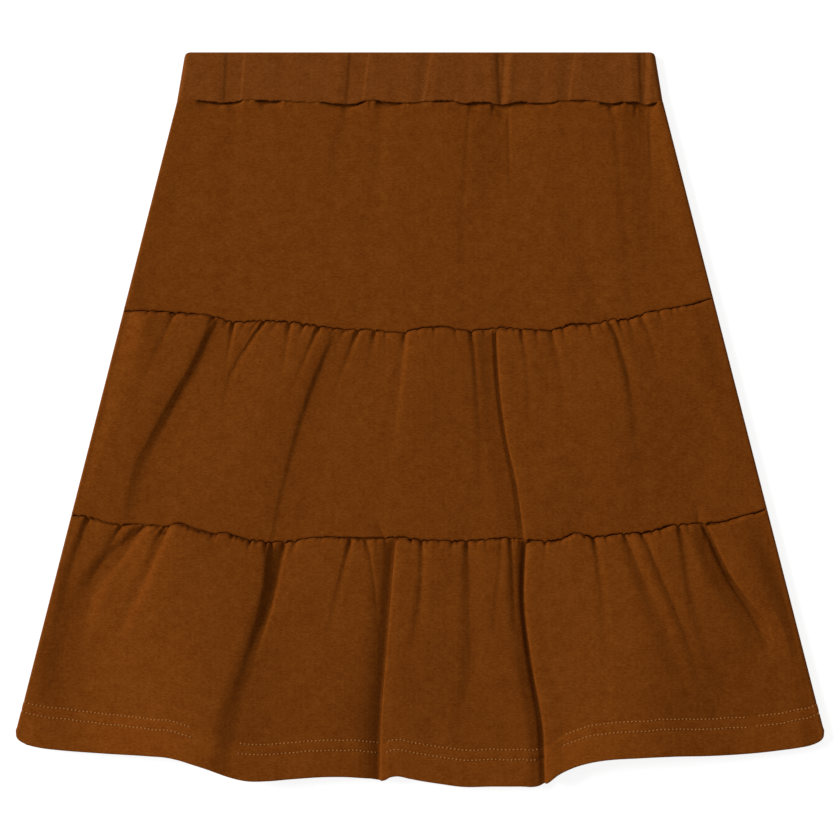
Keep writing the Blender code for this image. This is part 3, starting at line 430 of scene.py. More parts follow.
def crease_rails(tier, sides):
    """Paths down the tier that its columns follow between its sides, kept from crossing each other."""
    fixed = sides + [np.array(lap.path) + end for lap in laps_of(tier) for end in (-LAP_BEFORE, LAP_AFTER)]
    free = [np.array(crease.path) for crease in tier.creases if not crease.lap]
    rails = np.array(sorted(fixed + free, key=lambda path: path[0]))
    stays = [any(np.array_equal(rail, path) for path in fixed) for rail in rails]
    for number in range(1, len(rails)):
        if not stays[number]:
            rails[number] = np.maximum(rails[number], rails[number - 1] + RAIL_GAP)
    for number in range(len(rails) - 2, -1, -1):
        if not stays[number]:
            rails[number] = np.minimum(rails[number], rails[number + 1] - RAIL_GAP)
    return rails


def laps_of(tier):
    """The creases of a tier that fold over themselves."""
    return [crease for crease in tier.creases if crease.lap]


def front_columns(tier, spacing):
    """Even columns between the side rolls, with the S of each lap set in."""
    left, right = (path[0] for path in side_rails(tier))
    runs = []
    start = left
    for number, lap in enumerate(laps_of(tier)):
        end = lap.path[0] - LAP_BEFORE
        runs.append((start, end, -1, max(round((end - start) / spacing), 2)))
        start = lap.path[0] + LAP_AFTER
        runs.append((end, start, number, len(lap_profile(lap.lap)) - 1))
    runs.append((start, right, -1, max(round((right - start) / spacing), 2)))
    rows = [(left, -1, -1, angle) for angle in reversed(ROLL_ANGLES)]
    rows.append((left, -1, 0, 90))
    for start, end, lap, count in runs:
        if lap >= 0:
            rows[-1] = (start, lap, 0, 90)
        rows += [(start + (end - start) * k / count, lap, 0, 90) for k in range(1, count + 1)]
    rows += [(right, -1, 1, angle) for angle in ROLL_ANGLES]
    at, lap, side, angle = np.array(rows, float).T
    return Columns(at, lap.astype(int), side, np.radians(angle))


def notches_of(tier):
    """Where a gathered edge is drawn in: (across at the seam, depth, how far down it fades)."""
    if not tier.gathered:
        return ()
    random = np.random.default_rng(len(tier.creases))
    notches = list(tier.gathers)
    notches += [(crease.path[0], 0.8 * crease.strength[0], 5.0) for crease in tier.creases]
    place = -half_width(tier.top[0][1]) + 5
    while place < half_width(tier.top[-1][1]) - 5:
        if min(abs(place - notch[0]) for notch in notches) > 2.0:
            notches.append((place, random.uniform(0.05, 0.35), random.uniform(0.6, 2.2)))
        place += random.uniform(2.2, 7.5)
    return notches


def drawn_in(notches, across, below=0.0):
    """How deep gathers draw the cloth in, at places across the seam and distances below it."""
    depth = np.zeros(np.broadcast(across, below).shape)
    for at, deepest, length in notches:
        reach = GATHER_REACH * (0.6 + 0.03 * below)
        depth = np.maximum(depth, deepest * np.exp(-(below / length) ** 1.5) * dip(abs(across - at), reach))
    return depth


def seam_line(table, notches, across):
    """A seam down from the waist, with the scallops that the gathers below make in it."""
    return smooth_through(table, across) + SCALLOP * (drawn_in(notches, across) - 0.25) * (len(notches) > 0)


# Where a panel's edges run. A row's distance above the hem grows by hem_growth towards the sides.
Edges = namedtuple("Edges", "top top_notches foot foot_notches hem_growth")


def down_at(edges, rows, across):
    """Down, down of the top and of the foot, for rows of a panel at places across."""
    top = seam_line(edges.top, edges.top_notches, across)
    foot = seam_line(edges.foot, edges.foot_notches, across)
    growth = np.interp(across, *np.transpose(edges.hem_growth))
    above = rows[:, 2:] + np.minimum(rows[:, 2:], STITCH_HEIGHTS[0]) * (growth - 1)
    return rows[:, :1] * (foot - top) + top + rows[:, 1:2] - above, top, foot


def lay_grid(edges, rails, at, rows):
    """Lay a panel's rows and columns on the plane."""
    length = mean_length(edges.top, edges.foot)
    part = np.clip(rows[:, 0] + (rows[:, 1] - rows[:, 2]) / length, 0, 1)[:, None]
    starts = [path[0] for path in rails]
    rail_places = np.stack([down_a_tier(path, part[:, 0]) for path in rails], axis=1)
    across = np.array([np.interp(at, starts, places) for places in rail_places])
    down, top, foot = down_at(edges, rows, across)
    return Grid(at[None, :], across, part, down, down - top, foot - down)


def held(tier, grid):
    """How much of its creases a panel keeps towards a seam at its foot."""
    if tier.foot is HEM:
        return np.ones_like(grid.down)
    return CREASE_KEPT + (1 - CREASE_KEPT) * smoothstep(grid.above_foot / CREASE_KEPT_REACH)


def swelled(tier, grid):
    """Height that a panel's broad swells add to it."""
    height = np.zeros_like(grid.across)
    for across, down, wide, high, rise in tier.swells:
        height += rise * np.exp(-((grid.across - across) / wide) ** 2 - ((grid.down - down) / high) ** 2)
    return height


def creased(tier, grid):
    """Height that a panel's creases add to it."""
    height = np.zeros_like(grid.across)
    for crease in tier.creases:
        strength = np.clip(down_a_tier(crease.strength, grid.part), 0, 1)
        if crease.lap:
            strength = smoothstep((strength - 0.2) / 0.8)      # a lap flattens as it opens
        strength = strength * held(tier, grid)
        away = grid.across - down_a_tier(crease.path, grid.part)
        broad = crease.reach[1] > BROAD_REACH
        if not crease.lap:
            away -= 0.8 * crease.reach[0] if broad else 0.8      # it is deepest to the right of its path
        left = away < 0
        if crease.lap:
            past = np.maximum(np.where(left, -away - LAP_BEFORE, away - LAP_AFTER), 0)
            slit = np.where(left, LAP_SLIT * dip(past, crease.floor), 0)
            slope = np.where(left, 1 - LAP_SLIT, 1) * dip(past, np.where(left, *crease.reach))
            height += strength * np.where(left, -crease.depth, crease.step) * (slit + slope)
        else:
            floor = np.where(left, 0, crease.floor * strength ** 2)
            past = np.maximum(abs(away) - floor, 0)
            widening = 1.0 if broad or crease.floor else 0.75 + grid.part
            reach = np.where(left, *crease.reach) * widening
            height += strength * np.where(left, *crease.swell) * hump(past, SWELL_REACH)
            height -= strength * crease.depth * dip(past, reach)
    return height


def front_height(tier, below, grid, fold_depth):
    """Height of the middle of a front panel's wall, before its laps and side rolls are turned."""
    seed = len(tier.creases)
    height = down_a_tier(tier.levels, grid.part) + fold_depth * swelled(tier, grid)
    past_side = half_width(grid.down) - SIDE_TURN - HALF_WALL - abs(grid.across)
    height += smoothstep(1 - past_side / SIDE_REACH) * (SIDE_LEVEL - height)
    folds = creased(tier, grid) * smoothstep(past_side / 8)
    for number, (high, shortest, longest) in enumerate(PANEL_WAVES, 1):
        folds += high * unevenness(grid.across, grid.down, seed + 10 * number, shortest, longest)
    height += fold_depth * folds
    above_seam = np.maximum(grid.above_foot, 0)
    height -= FOOT_DIP * drawn_in(below, grid.across) * np.exp(-above_seam / FOOT_DIP_REACH)
    if tier.gathered:
        height -= GATHER_DIP * fold_depth * drawn_in(notches_of(tier), grid.at, np.maximum(grid.below_top, 0))
        gap = np.clip(0.25 + 0.4 * unevenness(grid.across, 0, seed + 30, 5, 20), 0.0, 1.1)
        rise = np.clip(1 - (grid.below_top - gap) / PUFF_LENGTH, 0, 1)
        height = SEAM_LEVEL + np.sqrt(1 - rise ** 2) * (height - SEAM_LEVEL)
    else:
        below_band = np.maximum(grid.below_top, 0)
        height += BAND_RISE * np.exp(-(below_band / BAND_RISE_REACH) ** 2)
        height -= PUCKER_DIP * fold_depth * drawn_in(WAIST_PUCKERS, grid.across, below_band)
        width = np.maximum(1.9 + 0.5 * unevenness(grid.across, 0, seed + 40, 3, 14), 0.8)
        for start, end, drop in WAIST_CREVICES:
            inside = np.clip((grid.across - start) / (end - start), 0, 1)
            sunk = CREVICE_DIP * drop * np.sin(math.pi * inside) ** 0.5
            height -= sunk * np.exp(-(below_band / width) ** 1.2)
    height += smoothstep(1 - past_side / 4) * (SIDE_LEVEL - height) * smoothstep(grid.below_top / 2 + 0.3)
    return keep_above(height, REST_LEVEL)


def turn_laps(tier, columns, grid, across, height):
    """Fold the columns of each lapped crease into its S, as far as the crease is strong."""
    opening = smoothstep(grid.below_top / LAP_LENGTH) if tier.gathered else np.ones_like(grid.down)
    ease = opening * held(tier, grid)
    for number, crease in enumerate(laps_of(tier)):
        mine = np.flatnonzero(columns.lap == number)
        profile = lap_profile(crease.lap)
        even = np.linspace(0, 1, len(mine))
        strength = np.clip(down_a_tier(crease.strength, grid.part), 0, 1)
        fold = strength * ease[:, mine]
        turned = smoothstep((strength * opening[:, mine] - 0.3) / 0.7)
        flat = -LAP_BEFORE + even * (LAP_BEFORE + LAP_AFTER)
        low = height[:, mine[:1]]
        high = height[:, mine[-1:]]
        path = down_a_tier(crease.path, grid.part)
        across[:, mine] = path + flat + turned * (profile[:, 0] - flat)
        height[:, mine] = low + (high - low) * (even + fold * (profile[:, 1] - even))


def turn_sides(columns, edges, rows, across, height):
    """Turn the outer columns down to the side seam, on the edge of the back panel."""
    mine = np.flatnonzero(columns.side)
    angle = columns.angle[mine]
    for _ in range(16):      # the hem is steep at its corners, so the columns are brought there by halves
        surface = across[:, mine] + columns.side[mine] * HALF_WALL * np.cos(angle)
        inner = half_width(down_at(edges, rows, surface)[0]) - SIDE_TURN - HALF_WALL
        turned = columns.side[mine] * (inner + SIDE_TURN * np.cos(np.maximum(angle, 0)))
        across[:, mine] = (across[:, mine] + turned) / 2
    height[:, mine] = SIDE_LEVEL - SIDE_DROP * (1 - np.sin(angle))


def outward(across, height):
    """Outward direction of a surface, in across and in height, from its section along each row."""
    run = np.gradient(across, axis=1)
    rise = np.gradient(height, axis=1)
    length = np.maximum(np.hypot(run, rise), 1e-6)
    return -rise / length, run / length


def front_surface(number, sizes):
    """The outer surface of a front panel, rows by columns by (across, down, height), and its rows."""
    tier = TIERS[number]
    below = notches_of(TIERS[number + 1]) if number + 1 < len(TIERS) else ()
    spacing = sizes.grid_spacing / MM
    columns = front_columns(tier, spacing)
    near = (TUCKED_ROWS if tier.gathered else COVERED_ROWS) + TOP_ROWS
    far = FOOT_ROWS + HEM_ROWS if tier.foot is HEM else FOOT_ROWS
    rows = spaced_rows(near, 2.9 * spacing, far, mean_length(tier.top, tier.foot))
    growth = HEM_GROWTH if tier.foot is HEM else NO_GROWTH
    edges = Edges(tier.top, notches_of(tier), tier.foot, below, growth)
    grid = lay_grid(edges, crease_rails(tier, side_rails(tier)), columns.at, rows)
    across = grid.across.copy()
    height = front_height(tier, below, grid, sizes.fold_depth)
    turn_laps(tier, columns, grid, across, height)
    turn_sides(columns, edges, rows, across, height)
    out_across, out_up = outward(across, height)
    plain = (columns.lap < 0) & (columns.side == 0)
    out_across[:, plain] = 0
    out_up[:, plain] = 1
    turned = columns.side != 0
    out_across[:, turned] = (columns.side * np.cos(columns.angle))[turned]
    out_up[:, turned] = np.sin(columns.angle)[turned]
    proud = HALF_WALL - edge_drop(grid.above_foot, 1.1)
    if tier.foot is HEM:
        above = np.where(rows[:, 0] == 1, rows[:, 2], LENGTH)[:, None]
        for stitches in STITCH_HEIGHTS:
            proud = proud - 0.2 * np.exp(-((above - stitches) / 0.7) ** 2)
        proud = proud + 0.12 * smoothstep((HEM_DEPTH + 1.0 - above) / 2)
    across += proud * out_across
    height += proud * out_up
    return np.stack([across, down_at(edges, rows, across)[0], height], axis=-1), rows


# ---------------------------------------------------------------- the back panels and the waistband

def back_surface(number, sizes):
    """The outer surface of a back panel, flat but for its gathers and rounded edges, and its rows."""
    tier = TIERS[number]
    far = FOOT_ROWS + BACK_HEM_ROWS if tier.back_foot is BACK_HEM else FOOT_ROWS
    length = mean_length(tier.back_top, tier.back_foot)
    rows = spaced_rows(BACK_TOP_ROWS, 4 * sizes.grid_spacing / MM, far, length)
    edges = Edges(tier.back_top, (), tier.back_foot, (), NO_GROWTH)
    mirrored = tier._replace(creases=tuple(
        crease._replace(path=tuple(-place for place in crease.path), reach=crease.reach[::-1], lap=0.0)
        for crease in tier.creases))
    sides = [path + np.sign(path) * (SIDE_TURN + HALF_WALL) for path in side_rails(tier)]
    rails = crease_rails(mirrored, sides)
    left, right = sides[0][0], sides[1][0]
    edge = np.array([0, 0.05, 0.2, 0.45, 0.8])
    at = np.concatenate([left + edge, np.arange(left + 1.8, right - 1.2, 2.4 * sizes.grid_spacing / MM),
                         right - edge[::-1]])
    grid = lay_grid(edges, rails, at, rows)
    ends = abs(grid.across[:, [0, -1]]) / half_width(grid.down[:, [0, -1]])
    grid = grid._replace(across=grid.across / np.where(grid.across < 0, ends[:, :1], ends[:, 1:]))
    lifted = -creased(mirrored, grid)
    if tier.gathered:
        notches = [(-at, depth, fade) for at, depth, fade in notches_of(tier)]
        lifted += drawn_in(notches, grid.at, np.maximum(grid.below_top, 0))
    from_side = half_width(grid.down) - abs(grid.across)
    calm = smoothstep(from_side / 8) * smoothstep((grid.above_foot - 1) / 8)
    lifted = BACK_RELIEF * (1 - np.exp(-np.maximum(lifted, 0) * 0.45)) * calm
    from_edges = (from_side, grid.below_top - SEAM_GAP, grid.above_foot)
    rolled = sum(edge_drop(distance, BACK_WALL) for distance in from_edges)
    return np.stack([grid.across, grid.down, lifted + np.minimum(rolled, BACK_WALL)], axis=-1), rows


def fold_rise(folds, across, share):
    """Height of the folds that the elastic makes at a part of the waistband's height."""
    rise = np.zeros_like(across)
    for top, foot, wide, height in folds:
        place = top + (foot - top) * share
        rise += height * np.exp(-((across - place) / (0.75 * wide)) ** 2)
    return rise


def strip_rise(across, share):
    """Height of the waistband's front in its sunken strips, at a part of its height."""
    rise = np.zeros_like(across)
    for left_top, left_foot, right_top, right_foot, slope_in, slope_out, depth in BAND_STRIPS:
        into = (across - left_top - (left_foot - left_top) * share) / slope_in
        out_of = (right_top + (right_foot - right_top) * share - across) / slope_out
        rise -= depth * smoothstep(into) * smoothstep(out_of)
    return rise


def band_surface(sizes):
    """The waistband's casing, a closed ring with rows round the ring and columns round its section."""
    half_wall = BAND_WALL / 2
    back, front = half_wall, half_wall + BAND_WALL + BAND_HOLLOW
    turn_radius = (front - back) / 2
    fine = np.linspace(-1, 1, round(3 * BAND_HALF_TOP * MM / sizes.grid_spacing))
    coarse = np.linspace(1, -1, len(fine) // 2)
    turn = np.linspace(0, math.pi, 12)[1:-1]
    place = np.concatenate([fine, np.ones(10), coarse, -np.ones(10)])
    level = np.concatenate([np.full(len(fine), front), back + turn_radius * (1 + np.cos(turn)),
                            np.full(len(coarse), back), back + turn_radius * (1 - np.cos(turn))])
    bulge = np.concatenate([0 * fine, np.sin(turn), 0 * coarse, np.sin(turn)]) * np.sign(place)
    facing = np.concatenate([0 * fine + 1, np.cos(turn), 0 * coarse - 1, -np.cos(turn)])
    # a section: share of the height, mm past it, and how far out of the wall's middle, in half walls
    round_over = np.linspace(0, math.pi, 9)
    up = np.linspace(0.98, 0.07, 22)
    section = [(1, -0.4 * (1 - math.cos(a)), math.sin(a)) for a in (0.35, 0.8, 1.2)]
    section += [(s, 0, 1) for s in up]
    section += [(0, half_wall * (1 - math.sin(a)), math.cos(a)) for a in round_over]
    section += [(s, 0, -1) for s in (0.12, 0.3, 0.5, 0.7, 0.88)]
    section += [(1, -0.3, -0.9), (1, 0, 0)]
    share, past, out = np.array(section).T
    half = BAND_HALF_TOP + share * (SIDE_AT_SEAM - BAND_HALF_TOP) - half_wall - turn_radius
    across = place[:, None] * half + (bulge * turn_radius)[:, None]
    height = np.repeat(level[:, None], len(share), axis=1)
    seam = np.where((facing > 0)[:, None], smooth_through(WAIST_SEAM, across),
                    smooth_through(BACK_WAIST_SEAM, across))
    seam += 0.2 * unevenness(across, 0, 9, 2.5, 10)
    down = share * (seam - SEAM_GAP) + past
    is_front = (facing > 0.999)[:, None]
    is_back = (facing < -0.999)[:, None]
    rise = np.where(is_front, fold_rise(BAND_FRONT_FOLDS, across, share) + strip_rise(across, share), 0)
    rise = rise + np.where(is_front, 0.07 * unevenness(across, down, 5, 8, 26), 0)
    lifted = np.where(is_back, 0.8 * fold_rise(BAND_BACK_FOLDS, across, share), 0)
    outside = np.clip(out, 0, 1)
    reach = half_wall * out + (rise - lifted) * outside
    rounding = 3.2      # of the casing's corners at its top
    corner = np.clip((abs(across) + rounding - half - half_wall - turn_radius) / rounding, 0, 1)
    down = down + 2.4 * (1 - np.sqrt(1 - 0.98 * corner ** 2)) * (1 - np.minimum(share, 1))
    direction = np.sqrt(1 - facing ** 2)[:, None] * np.sign(place)[:, None]
    return np.stack([across + reach * direction, down, height + reach * facing[:, None]], axis=-1)


# ---------------------------------------------------------------- meshes

def in_metres(points):
    """Points in across, down and height, mm, as points of the scene."""
    across, down, height = np.moveaxis(points, -1, 0)
    return np.stack([across, LENGTH / 2 - down, height], axis=-1).reshape(-1, 3) * MM


def grid_faces(rows, columns, closed, flipped):
    """Faces of a grid of points, closed round both ways or open."""
    index = np.arange(rows * columns).reshape(rows, columns)
    if closed:
        index = np.pad(index, ((0, 1), (0, 1)), mode="wrap")
    corners = [index[:-1, :-1], index[1:, :-1], index[1:, 1:], index[:-1, 1:]]
    if flipped:
        corners.reverse()
    return np.stack(corners, axis=-1).reshape(-1, 4)


def mark_hem_painted_light(piece, tier, rows):
    """Mark the points of a panel's turned hem, where its cloth is double and its colour is painted paler as
    painted light.
    """
    if tier.foot is HEM:
        above = np.where(rows[:, 0] == 1, rows[:, 2], LENGTH)
        turned = smoothstep((HEM_DEPTH + 1.0 - above) / 2)
        mark = piece.data.attributes.new(PAINTED_HEM_LIGHT_MARK, "FLOAT", "POINT")
        mark.data.foreach_set("value", np.repeat(turned, len(piece.data.vertices) // len(rows)))


def smooth_piece(name, points, faces, material):
    """A smooth mesh of points in metres, set in the scene."""
    mesh = bpy.data.meshes.new(name)
    mesh.from_pydata(points.tolist(), [], faces)
    mesh.materials.append(material)
    mesh.shade_smooth()
    piece = bpy.data.objects.new(name, mesh)
    bpy.context.scene.collection.objects.link(piece)
    return piece


def cloth_piece(name, points, material, closed=False, flipped=False):
    """A piece of cloth from its grid of points."""
    faces = grid_faces(*points.shape[:2], closed, flipped)
    return smooth_piece(name, in_metres(points), faces.tolist(), material)


def give_wall(piece, thickness):
    """Thicken a surface inwards by a thickness in metres."""
    wall = piece.modifiers.new("wall", "SOLIDIFY")
    wall.thickness = thickness
    wall.offset = -1
    wall.use_quality_normals = True


# ---------------------------------------------------------------- stitches

def stitch_shape(length, width):
    """One stitch along its own x: rings of six points between two ends, as (points, faces)."""
    around = np.radians(np.arange(6) * 60)
    rings = [(-0.40, 0.75), (-0.22, 1.0), (0.22, 1.0), (0.40, 0.75)]
    points = [(-0.5 * length, 0, 0)]
    for along, wide in rings:
        out = wide * width / 2
        points += [(along * length, out * math.cos(a), out * math.sin(a)) for a in around]
    points.append((0.5 * length, 0, 0))
    last = len(points) - 1
    faces = []
    for k in range(6):
        after = (k + 1) % 6
        faces.append((0, 1 + after, 1 + k))
        for ring in range(3):
            start = 1 + 6 * ring
            faces.append((start + k, start + after, start + 6 + after, start + 6 + k))
        faces.append((last, last - 6 + k, last - 6 + after))
    return np.array(points), faces


def along_row(row, pitch):
    """Places and directions at even steps along a row of points."""
    steps = np.linalg.norm(np.diff(row, axis=0), axis=1)
    reached = np.concatenate([[0], np.cumsum(steps)])
    places = np.arange(1.5 * pitch, reached[-1] - pitch, pitch)
    at = np.stack([np.interp(places, reached, row[:, k]) for k in range(3)], axis=1)
    ahead = np.stack([np.interp(places + 0.4, reached, row[:, k]) for k in range(3)], axis=1)
    direction = ahead - at
    return at, direction / np.linalg.norm(direction, axis=1)[:, None]


def stitch_rows(surfaces, sizes, up):
    """Points and faces of the stitches in both rows of a hem. up is 1 on the front and -1 on the back."""
    length, width = sizes.stitch_length / MM, sizes.stitch_width / MM
    shape, shape_faces = stitch_shape(length, width)
    points, faces = [], []
    for row in surfaces:
        row = in_metres(row) / MM
        row[:, 1] += STITCH_WANDER * unevenness(row[:, 0], 0, len(row) + up, 7, 60)
        at, direction = along_row(row, sizes.stitch_pitch / MM)
        shows = direction[:, 0] > STITCH_SHOWS
        for start, end in STITCHES_SUNK if up > 0 else ():
            shows &= (at[:, 0] <= start) | (at[:, 0] >= end)
        for place, along in zip(at[shows], direction[shows]):
            out = np.array([0, 0, up]) - along * along[2] * up
            out /= np.linalg.norm(out)
            side = np.cross(out, along)
            middle = place + out * STITCH_PROUD[up] * width
            faces += [tuple(len(points) + k for k in face) for face in shape_faces]
            points += list(middle + shape @ np.array([along, side, out]))
    return np.array(points) * MM, faces


def tack_stitches(band):
    """Points and faces of a zigzag of short stitches down a part of the waistband's front."""
    front = band.reshape(-1, 3)
    front = front[front[:, 2] > BAND_FACE]
    shape, shape_faces = stitch_shape(*TACK_STITCH)
    points, faces = [], []
    for number, part in enumerate(np.linspace(0, 1, TACK_COUNT)):
        across, down = np.array(TACK[0]) * (1 - part) + np.array(TACK[1]) * part
        across += TACK_SWAY * (-1) ** number
        nearest = front[np.argmin(np.hypot(front[:, 0] - across, front[:, 1] - down))]
        turn = TACK_TURN * (-1) ** number
        along = np.array([math.cos(turn), math.sin(turn), 0])
        side = np.array([-math.sin(turn), math.cos(turn), 0])
        middle = np.array([across, LENGTH / 2 - down, nearest[2] + 0.05])
        faces += [tuple(len(points) + k for k in face) for face in shape_faces]
        points += list(middle + shape @ np.array([along, side, (0, 0, 1)]))
    return np.array(points) * MM, faces


# ---------------------------------------------------------------- finishes

def add_node(tree, kind, settings=None, **inputs):
    """Add a node. Its settings are set by name, and its inputs to values or linked from sockets."""
    node = tree.nodes.new(kind)
    for name, value in (settings or {}).items():
        setattr(node, name, value)
    for name, value in inputs.items():
        socket = node.inputs[int(name[1:])] if name[1:].isdigit() else node.inputs[name.replace("_", " ")]
        if isinstance(value, bpy.types.NodeSocket):
            tree.links.new(value, socket)
        else:
            socket.default_value = value
    return node


def matt_finish(name, roughness, specular):
    """A new material without shine, with its tree of nodes and its shader."""
    material = bpy.data.materials.new(name)
    material.use_nodes = True
    shader = material.node_tree.nodes["Principled BSDF"]
    shader.inputs["Roughness"].default_value = roughness
    shader.inputs["Specular IOR Level"].default_value = specular
    return material, material.node_tree, shader


def jersey_knit():
    """Slub jersey: streaks and mottling in its colour, and the relief of its stitches."""
    if "jersey knit" in bpy.data.node_groups:
        return bpy.data.node_groups["jersey knit"]
    group = bpy.data.node_groups.new("jersey knit", "ShaderNodeTree")
    sockets = (("Colour", "INPUT", "NodeSocketColor"), ("Slub", "INPUT", "NodeSocketFloat"),
               ("Mottle", "INPUT", "NodeSocketFloat"), ("Colour", "OUTPUT", "NodeSocketColor"),
               ("Relief", "OUTPUT", "NodeSocketFloat"))
    for name, way, kind in sockets:
        group.interface.new_socket(name, in_out=way, socket_type=kind)
    given = add_node(group, "NodeGroupInput").outputs
    place = add_node(group, "ShaderNodeTexCoord").outputs["Object"]
    drawn = add_node(group, "ShaderNodeMapping", Vector=place, Scale=(520, 1300, 520))
    streaks = add_node(group, "ShaderNodeTexNoise", Vector=drawn.outputs[0], Scale=1.0, Detail=2.0,
                       Roughness=0.6)
    blots = add_node(group, "ShaderNodeTexNoise", Vector=place, Scale=160.0, Detail=4.0, Roughness=0.85)
    wales = add_node(group, "ShaderNodeTexWave", {"bands_direction": "X"}, Vector=place, Scale=449.0,
                     Distortion=0.6, Detail=1.0, Detail_Scale=0.4)
    courses = add_node(group, "ShaderNodeTexWave", {"bands_direction": "Y"}, Vector=place, Scale=628.0,
                       Distortion=0.6, Detail=1.0, Detail_Scale=0.4)
    uneven = []
    for noise in (streaks, blots):
        spread = add_node(group, "ShaderNodeMapRange", {"clamp": False}, Value=noise.outputs[0], From_Min=0.3,
                          From_Max=0.7, To_Min=-1.0, To_Max=1.0)
        uneven.append(spread.outputs[0])
    slub = add_node(group, "ShaderNodeMath", {"operation": "MULTIPLY_ADD"}, _0=uneven[0], _1=given["Slub"],
                    _2=1.0)
    both = add_node(group, "ShaderNodeMath", {"operation": "MULTIPLY_ADD"}, _0=uneven[1], _1=given["Mottle"],
                    _2=slub.outputs[0])
    green, blue = (
        add_node(group, "ShaderNodeMath", {"operation": "POWER"}, _0=both.outputs[0], _1=power).outputs[0]
        for power in (1.5, 3.0))      # a pale fibre is less red than the cloth
    tint = add_node(group, "ShaderNodeCombineColor", Red=both.outputs[0], Green=green, Blue=blue)
    colour = add_node(group, "ShaderNodeMix", {"data_type": "RGBA", "blend_type": "MULTIPLY"}, _0=1.0,
                      _6=given["Colour"], _7=tint.outputs[0])
    knit = add_node(group, "ShaderNodeMath", {"operation": "MULTIPLY_ADD"}, _0=wales.outputs[1], _1=0.5,
                    _2=courses.outputs[1])
    relief = add_node(group, "ShaderNodeMath", {"operation": "ADD"}, _0=knit.outputs[0],
                      _1=streaks.outputs[0])
    result = add_node(group, "NodeGroupOutput")
    group.links.new(colour.outputs[2], result.inputs["Colour"])
    group.links.new(relief.outputs[0], result.inputs["Relief"])
    return group


def jersey(name, colour, colours):
    """Matt slub jersey of a colour, with painted light that makes it paler where the hem is turned."""
    if name in bpy.data.materials:
        return bpy.data.materials[name]
    material, tree, shader = matt_finish(name, 0.95, 0.03)
    knit = add_node(tree, "ShaderNodeGroup", {"node_tree": jersey_knit()}, Colour=(*colour, 1),
                    Slub=colours.slub, Mottle=colours.mottle)
    bump = add_node(tree, "ShaderNodeBump", Height=knit.outputs["Relief"], Distance=0.00012, Strength=0.5)
    # painted light: the colour is multiplied paler where the hem is turned
    turned = add_node(tree, "ShaderNodeAttribute", {"attribute_name": PAINTED_HEM_LIGHT_MARK}).outputs["Fac"]
    cloth = add_node(tree, "ShaderNodeMix", {"data_type": "RGBA", "blend_type": "MULTIPLY"}, _0=turned,
                     _6=knit.outputs["Colour"], _7=(HEM_PAINTED_LIGHT, HEM_PAINTED_LIGHT, HEM_PAINTED_LIGHT, 1))
    tree.links.new(cloth.outputs[2], shader.inputs["Base Color"])
    tree.links.new(bump.outputs[0], shader.inputs["Normal"])
    return material


def sewing_thread(name, colour):
    """Twisted polyester thread of a colour."""
    if name in bpy.data.materials:
        return bpy.data.materials[name]
    material, tree, shader = matt_finish(name, 0.8, 0.1)
    place = add_node(tree, "ShaderNodeTexCoord").outputs["Object"]
    fade = add_node(tree, "ShaderNodeTexNoise", Vector=place, Scale=700.0, Detail=2.0)
    worn = add_node(tree, "ShaderNodeMapRange", Value=fade.outputs[0], From_Min=0.3, From_Max=0.7,
                    To_Min=0.75, To_Max=1.1)
    dyed = add_node(tree, "ShaderNodeMix", {"data_type": "RGBA", "blend_type": "MULTIPLY"}, _0=1.0,
                    _6=(*colour, 1), _7=worn.outputs[0])
    twist = add_node(tree, "ShaderNodeTexWave", {"bands_direction": "DIAGONAL"}, Vector=place, Scale=900.0)
    bump = add_node(tree, "ShaderNodeBump", Height=twist.outputs[1], Distance=0.00005, Strength=0.5)
    tree.links.new(dyed.outputs[2], shader.inputs["Base Color"])
    tree.links.new(bump.outputs[0], shader.inputs["Normal"])
    return material


def table_top():
    """The pale light table that the skirt lies on, which shows hardly any shadow."""
    material, tree, shader = matt_finish("table top", 0.9, 0.0)
    grain = add_node(tree, "ShaderNodeTexNoise", Scale=40.0, Detail=2.0)
    pale = add_node(tree, "ShaderNodeMix", {"data_type": "RGBA"}, _0=grain.outputs[0],
                    _6=(0.24, 0.24, 0.24, 1), _7=(0.26, 0.26, 0.26, 1))
    tree.links.new(pale.outputs[2], shader.inputs["Base Color"])
    shader.inputs["Emission Color"].default_value = (1, 1, 1, 1)
    shader.inputs["Emission Strength"].default_value = 0.85
    return material


# ---------------------------------------------------------------- what a user can change

class SkirtSizes(bpy.types.PropertyGroup):
    """Sizes of the cloth and its sewing."""
    cloth_thickness: FloatProperty(
        name="Cloth thickness", description="Thickness of the jersey", default=0.9 * MM, min=0.5 * MM,
        max=1.2 * MM, unit="LENGTH", precision=4)
    grid_spacing: FloatProperty(
        name="Grid spacing", description="Distance between the columns of a panel's mesh", default=0.9 * MM,
        min=0.8 * MM, max=4 * MM, unit="LENGTH", precision=4)
    fold_depth: FloatProperty(
        name="Fold depth", description="How deep creases and gathers are, as a factor", default=1.0, min=0.2,
        max=1.2, subtype="FACTOR")
    stitch_length: FloatProperty(
        name="Stitch length", description="Length of a hem stitch that shows", default=1.35 * MM,
        min=0.8 * MM, max=4 * MM, unit="LENGTH", precision=4)
    stitch_pitch: FloatProperty(
        name="Stitch pitch", description="From one hem stitch to the next", default=2.2 * MM, min=1.2 * MM,
        max=5 * MM, unit="LENGTH", precision=4)
    stitch_width: FloatProperty(
        name="Thread width", description="Thickness of the hem's thread", default=0.85 * MM, min=0.2 * MM,
        max=1.2 * MM, unit="LENGTH", precision=5)


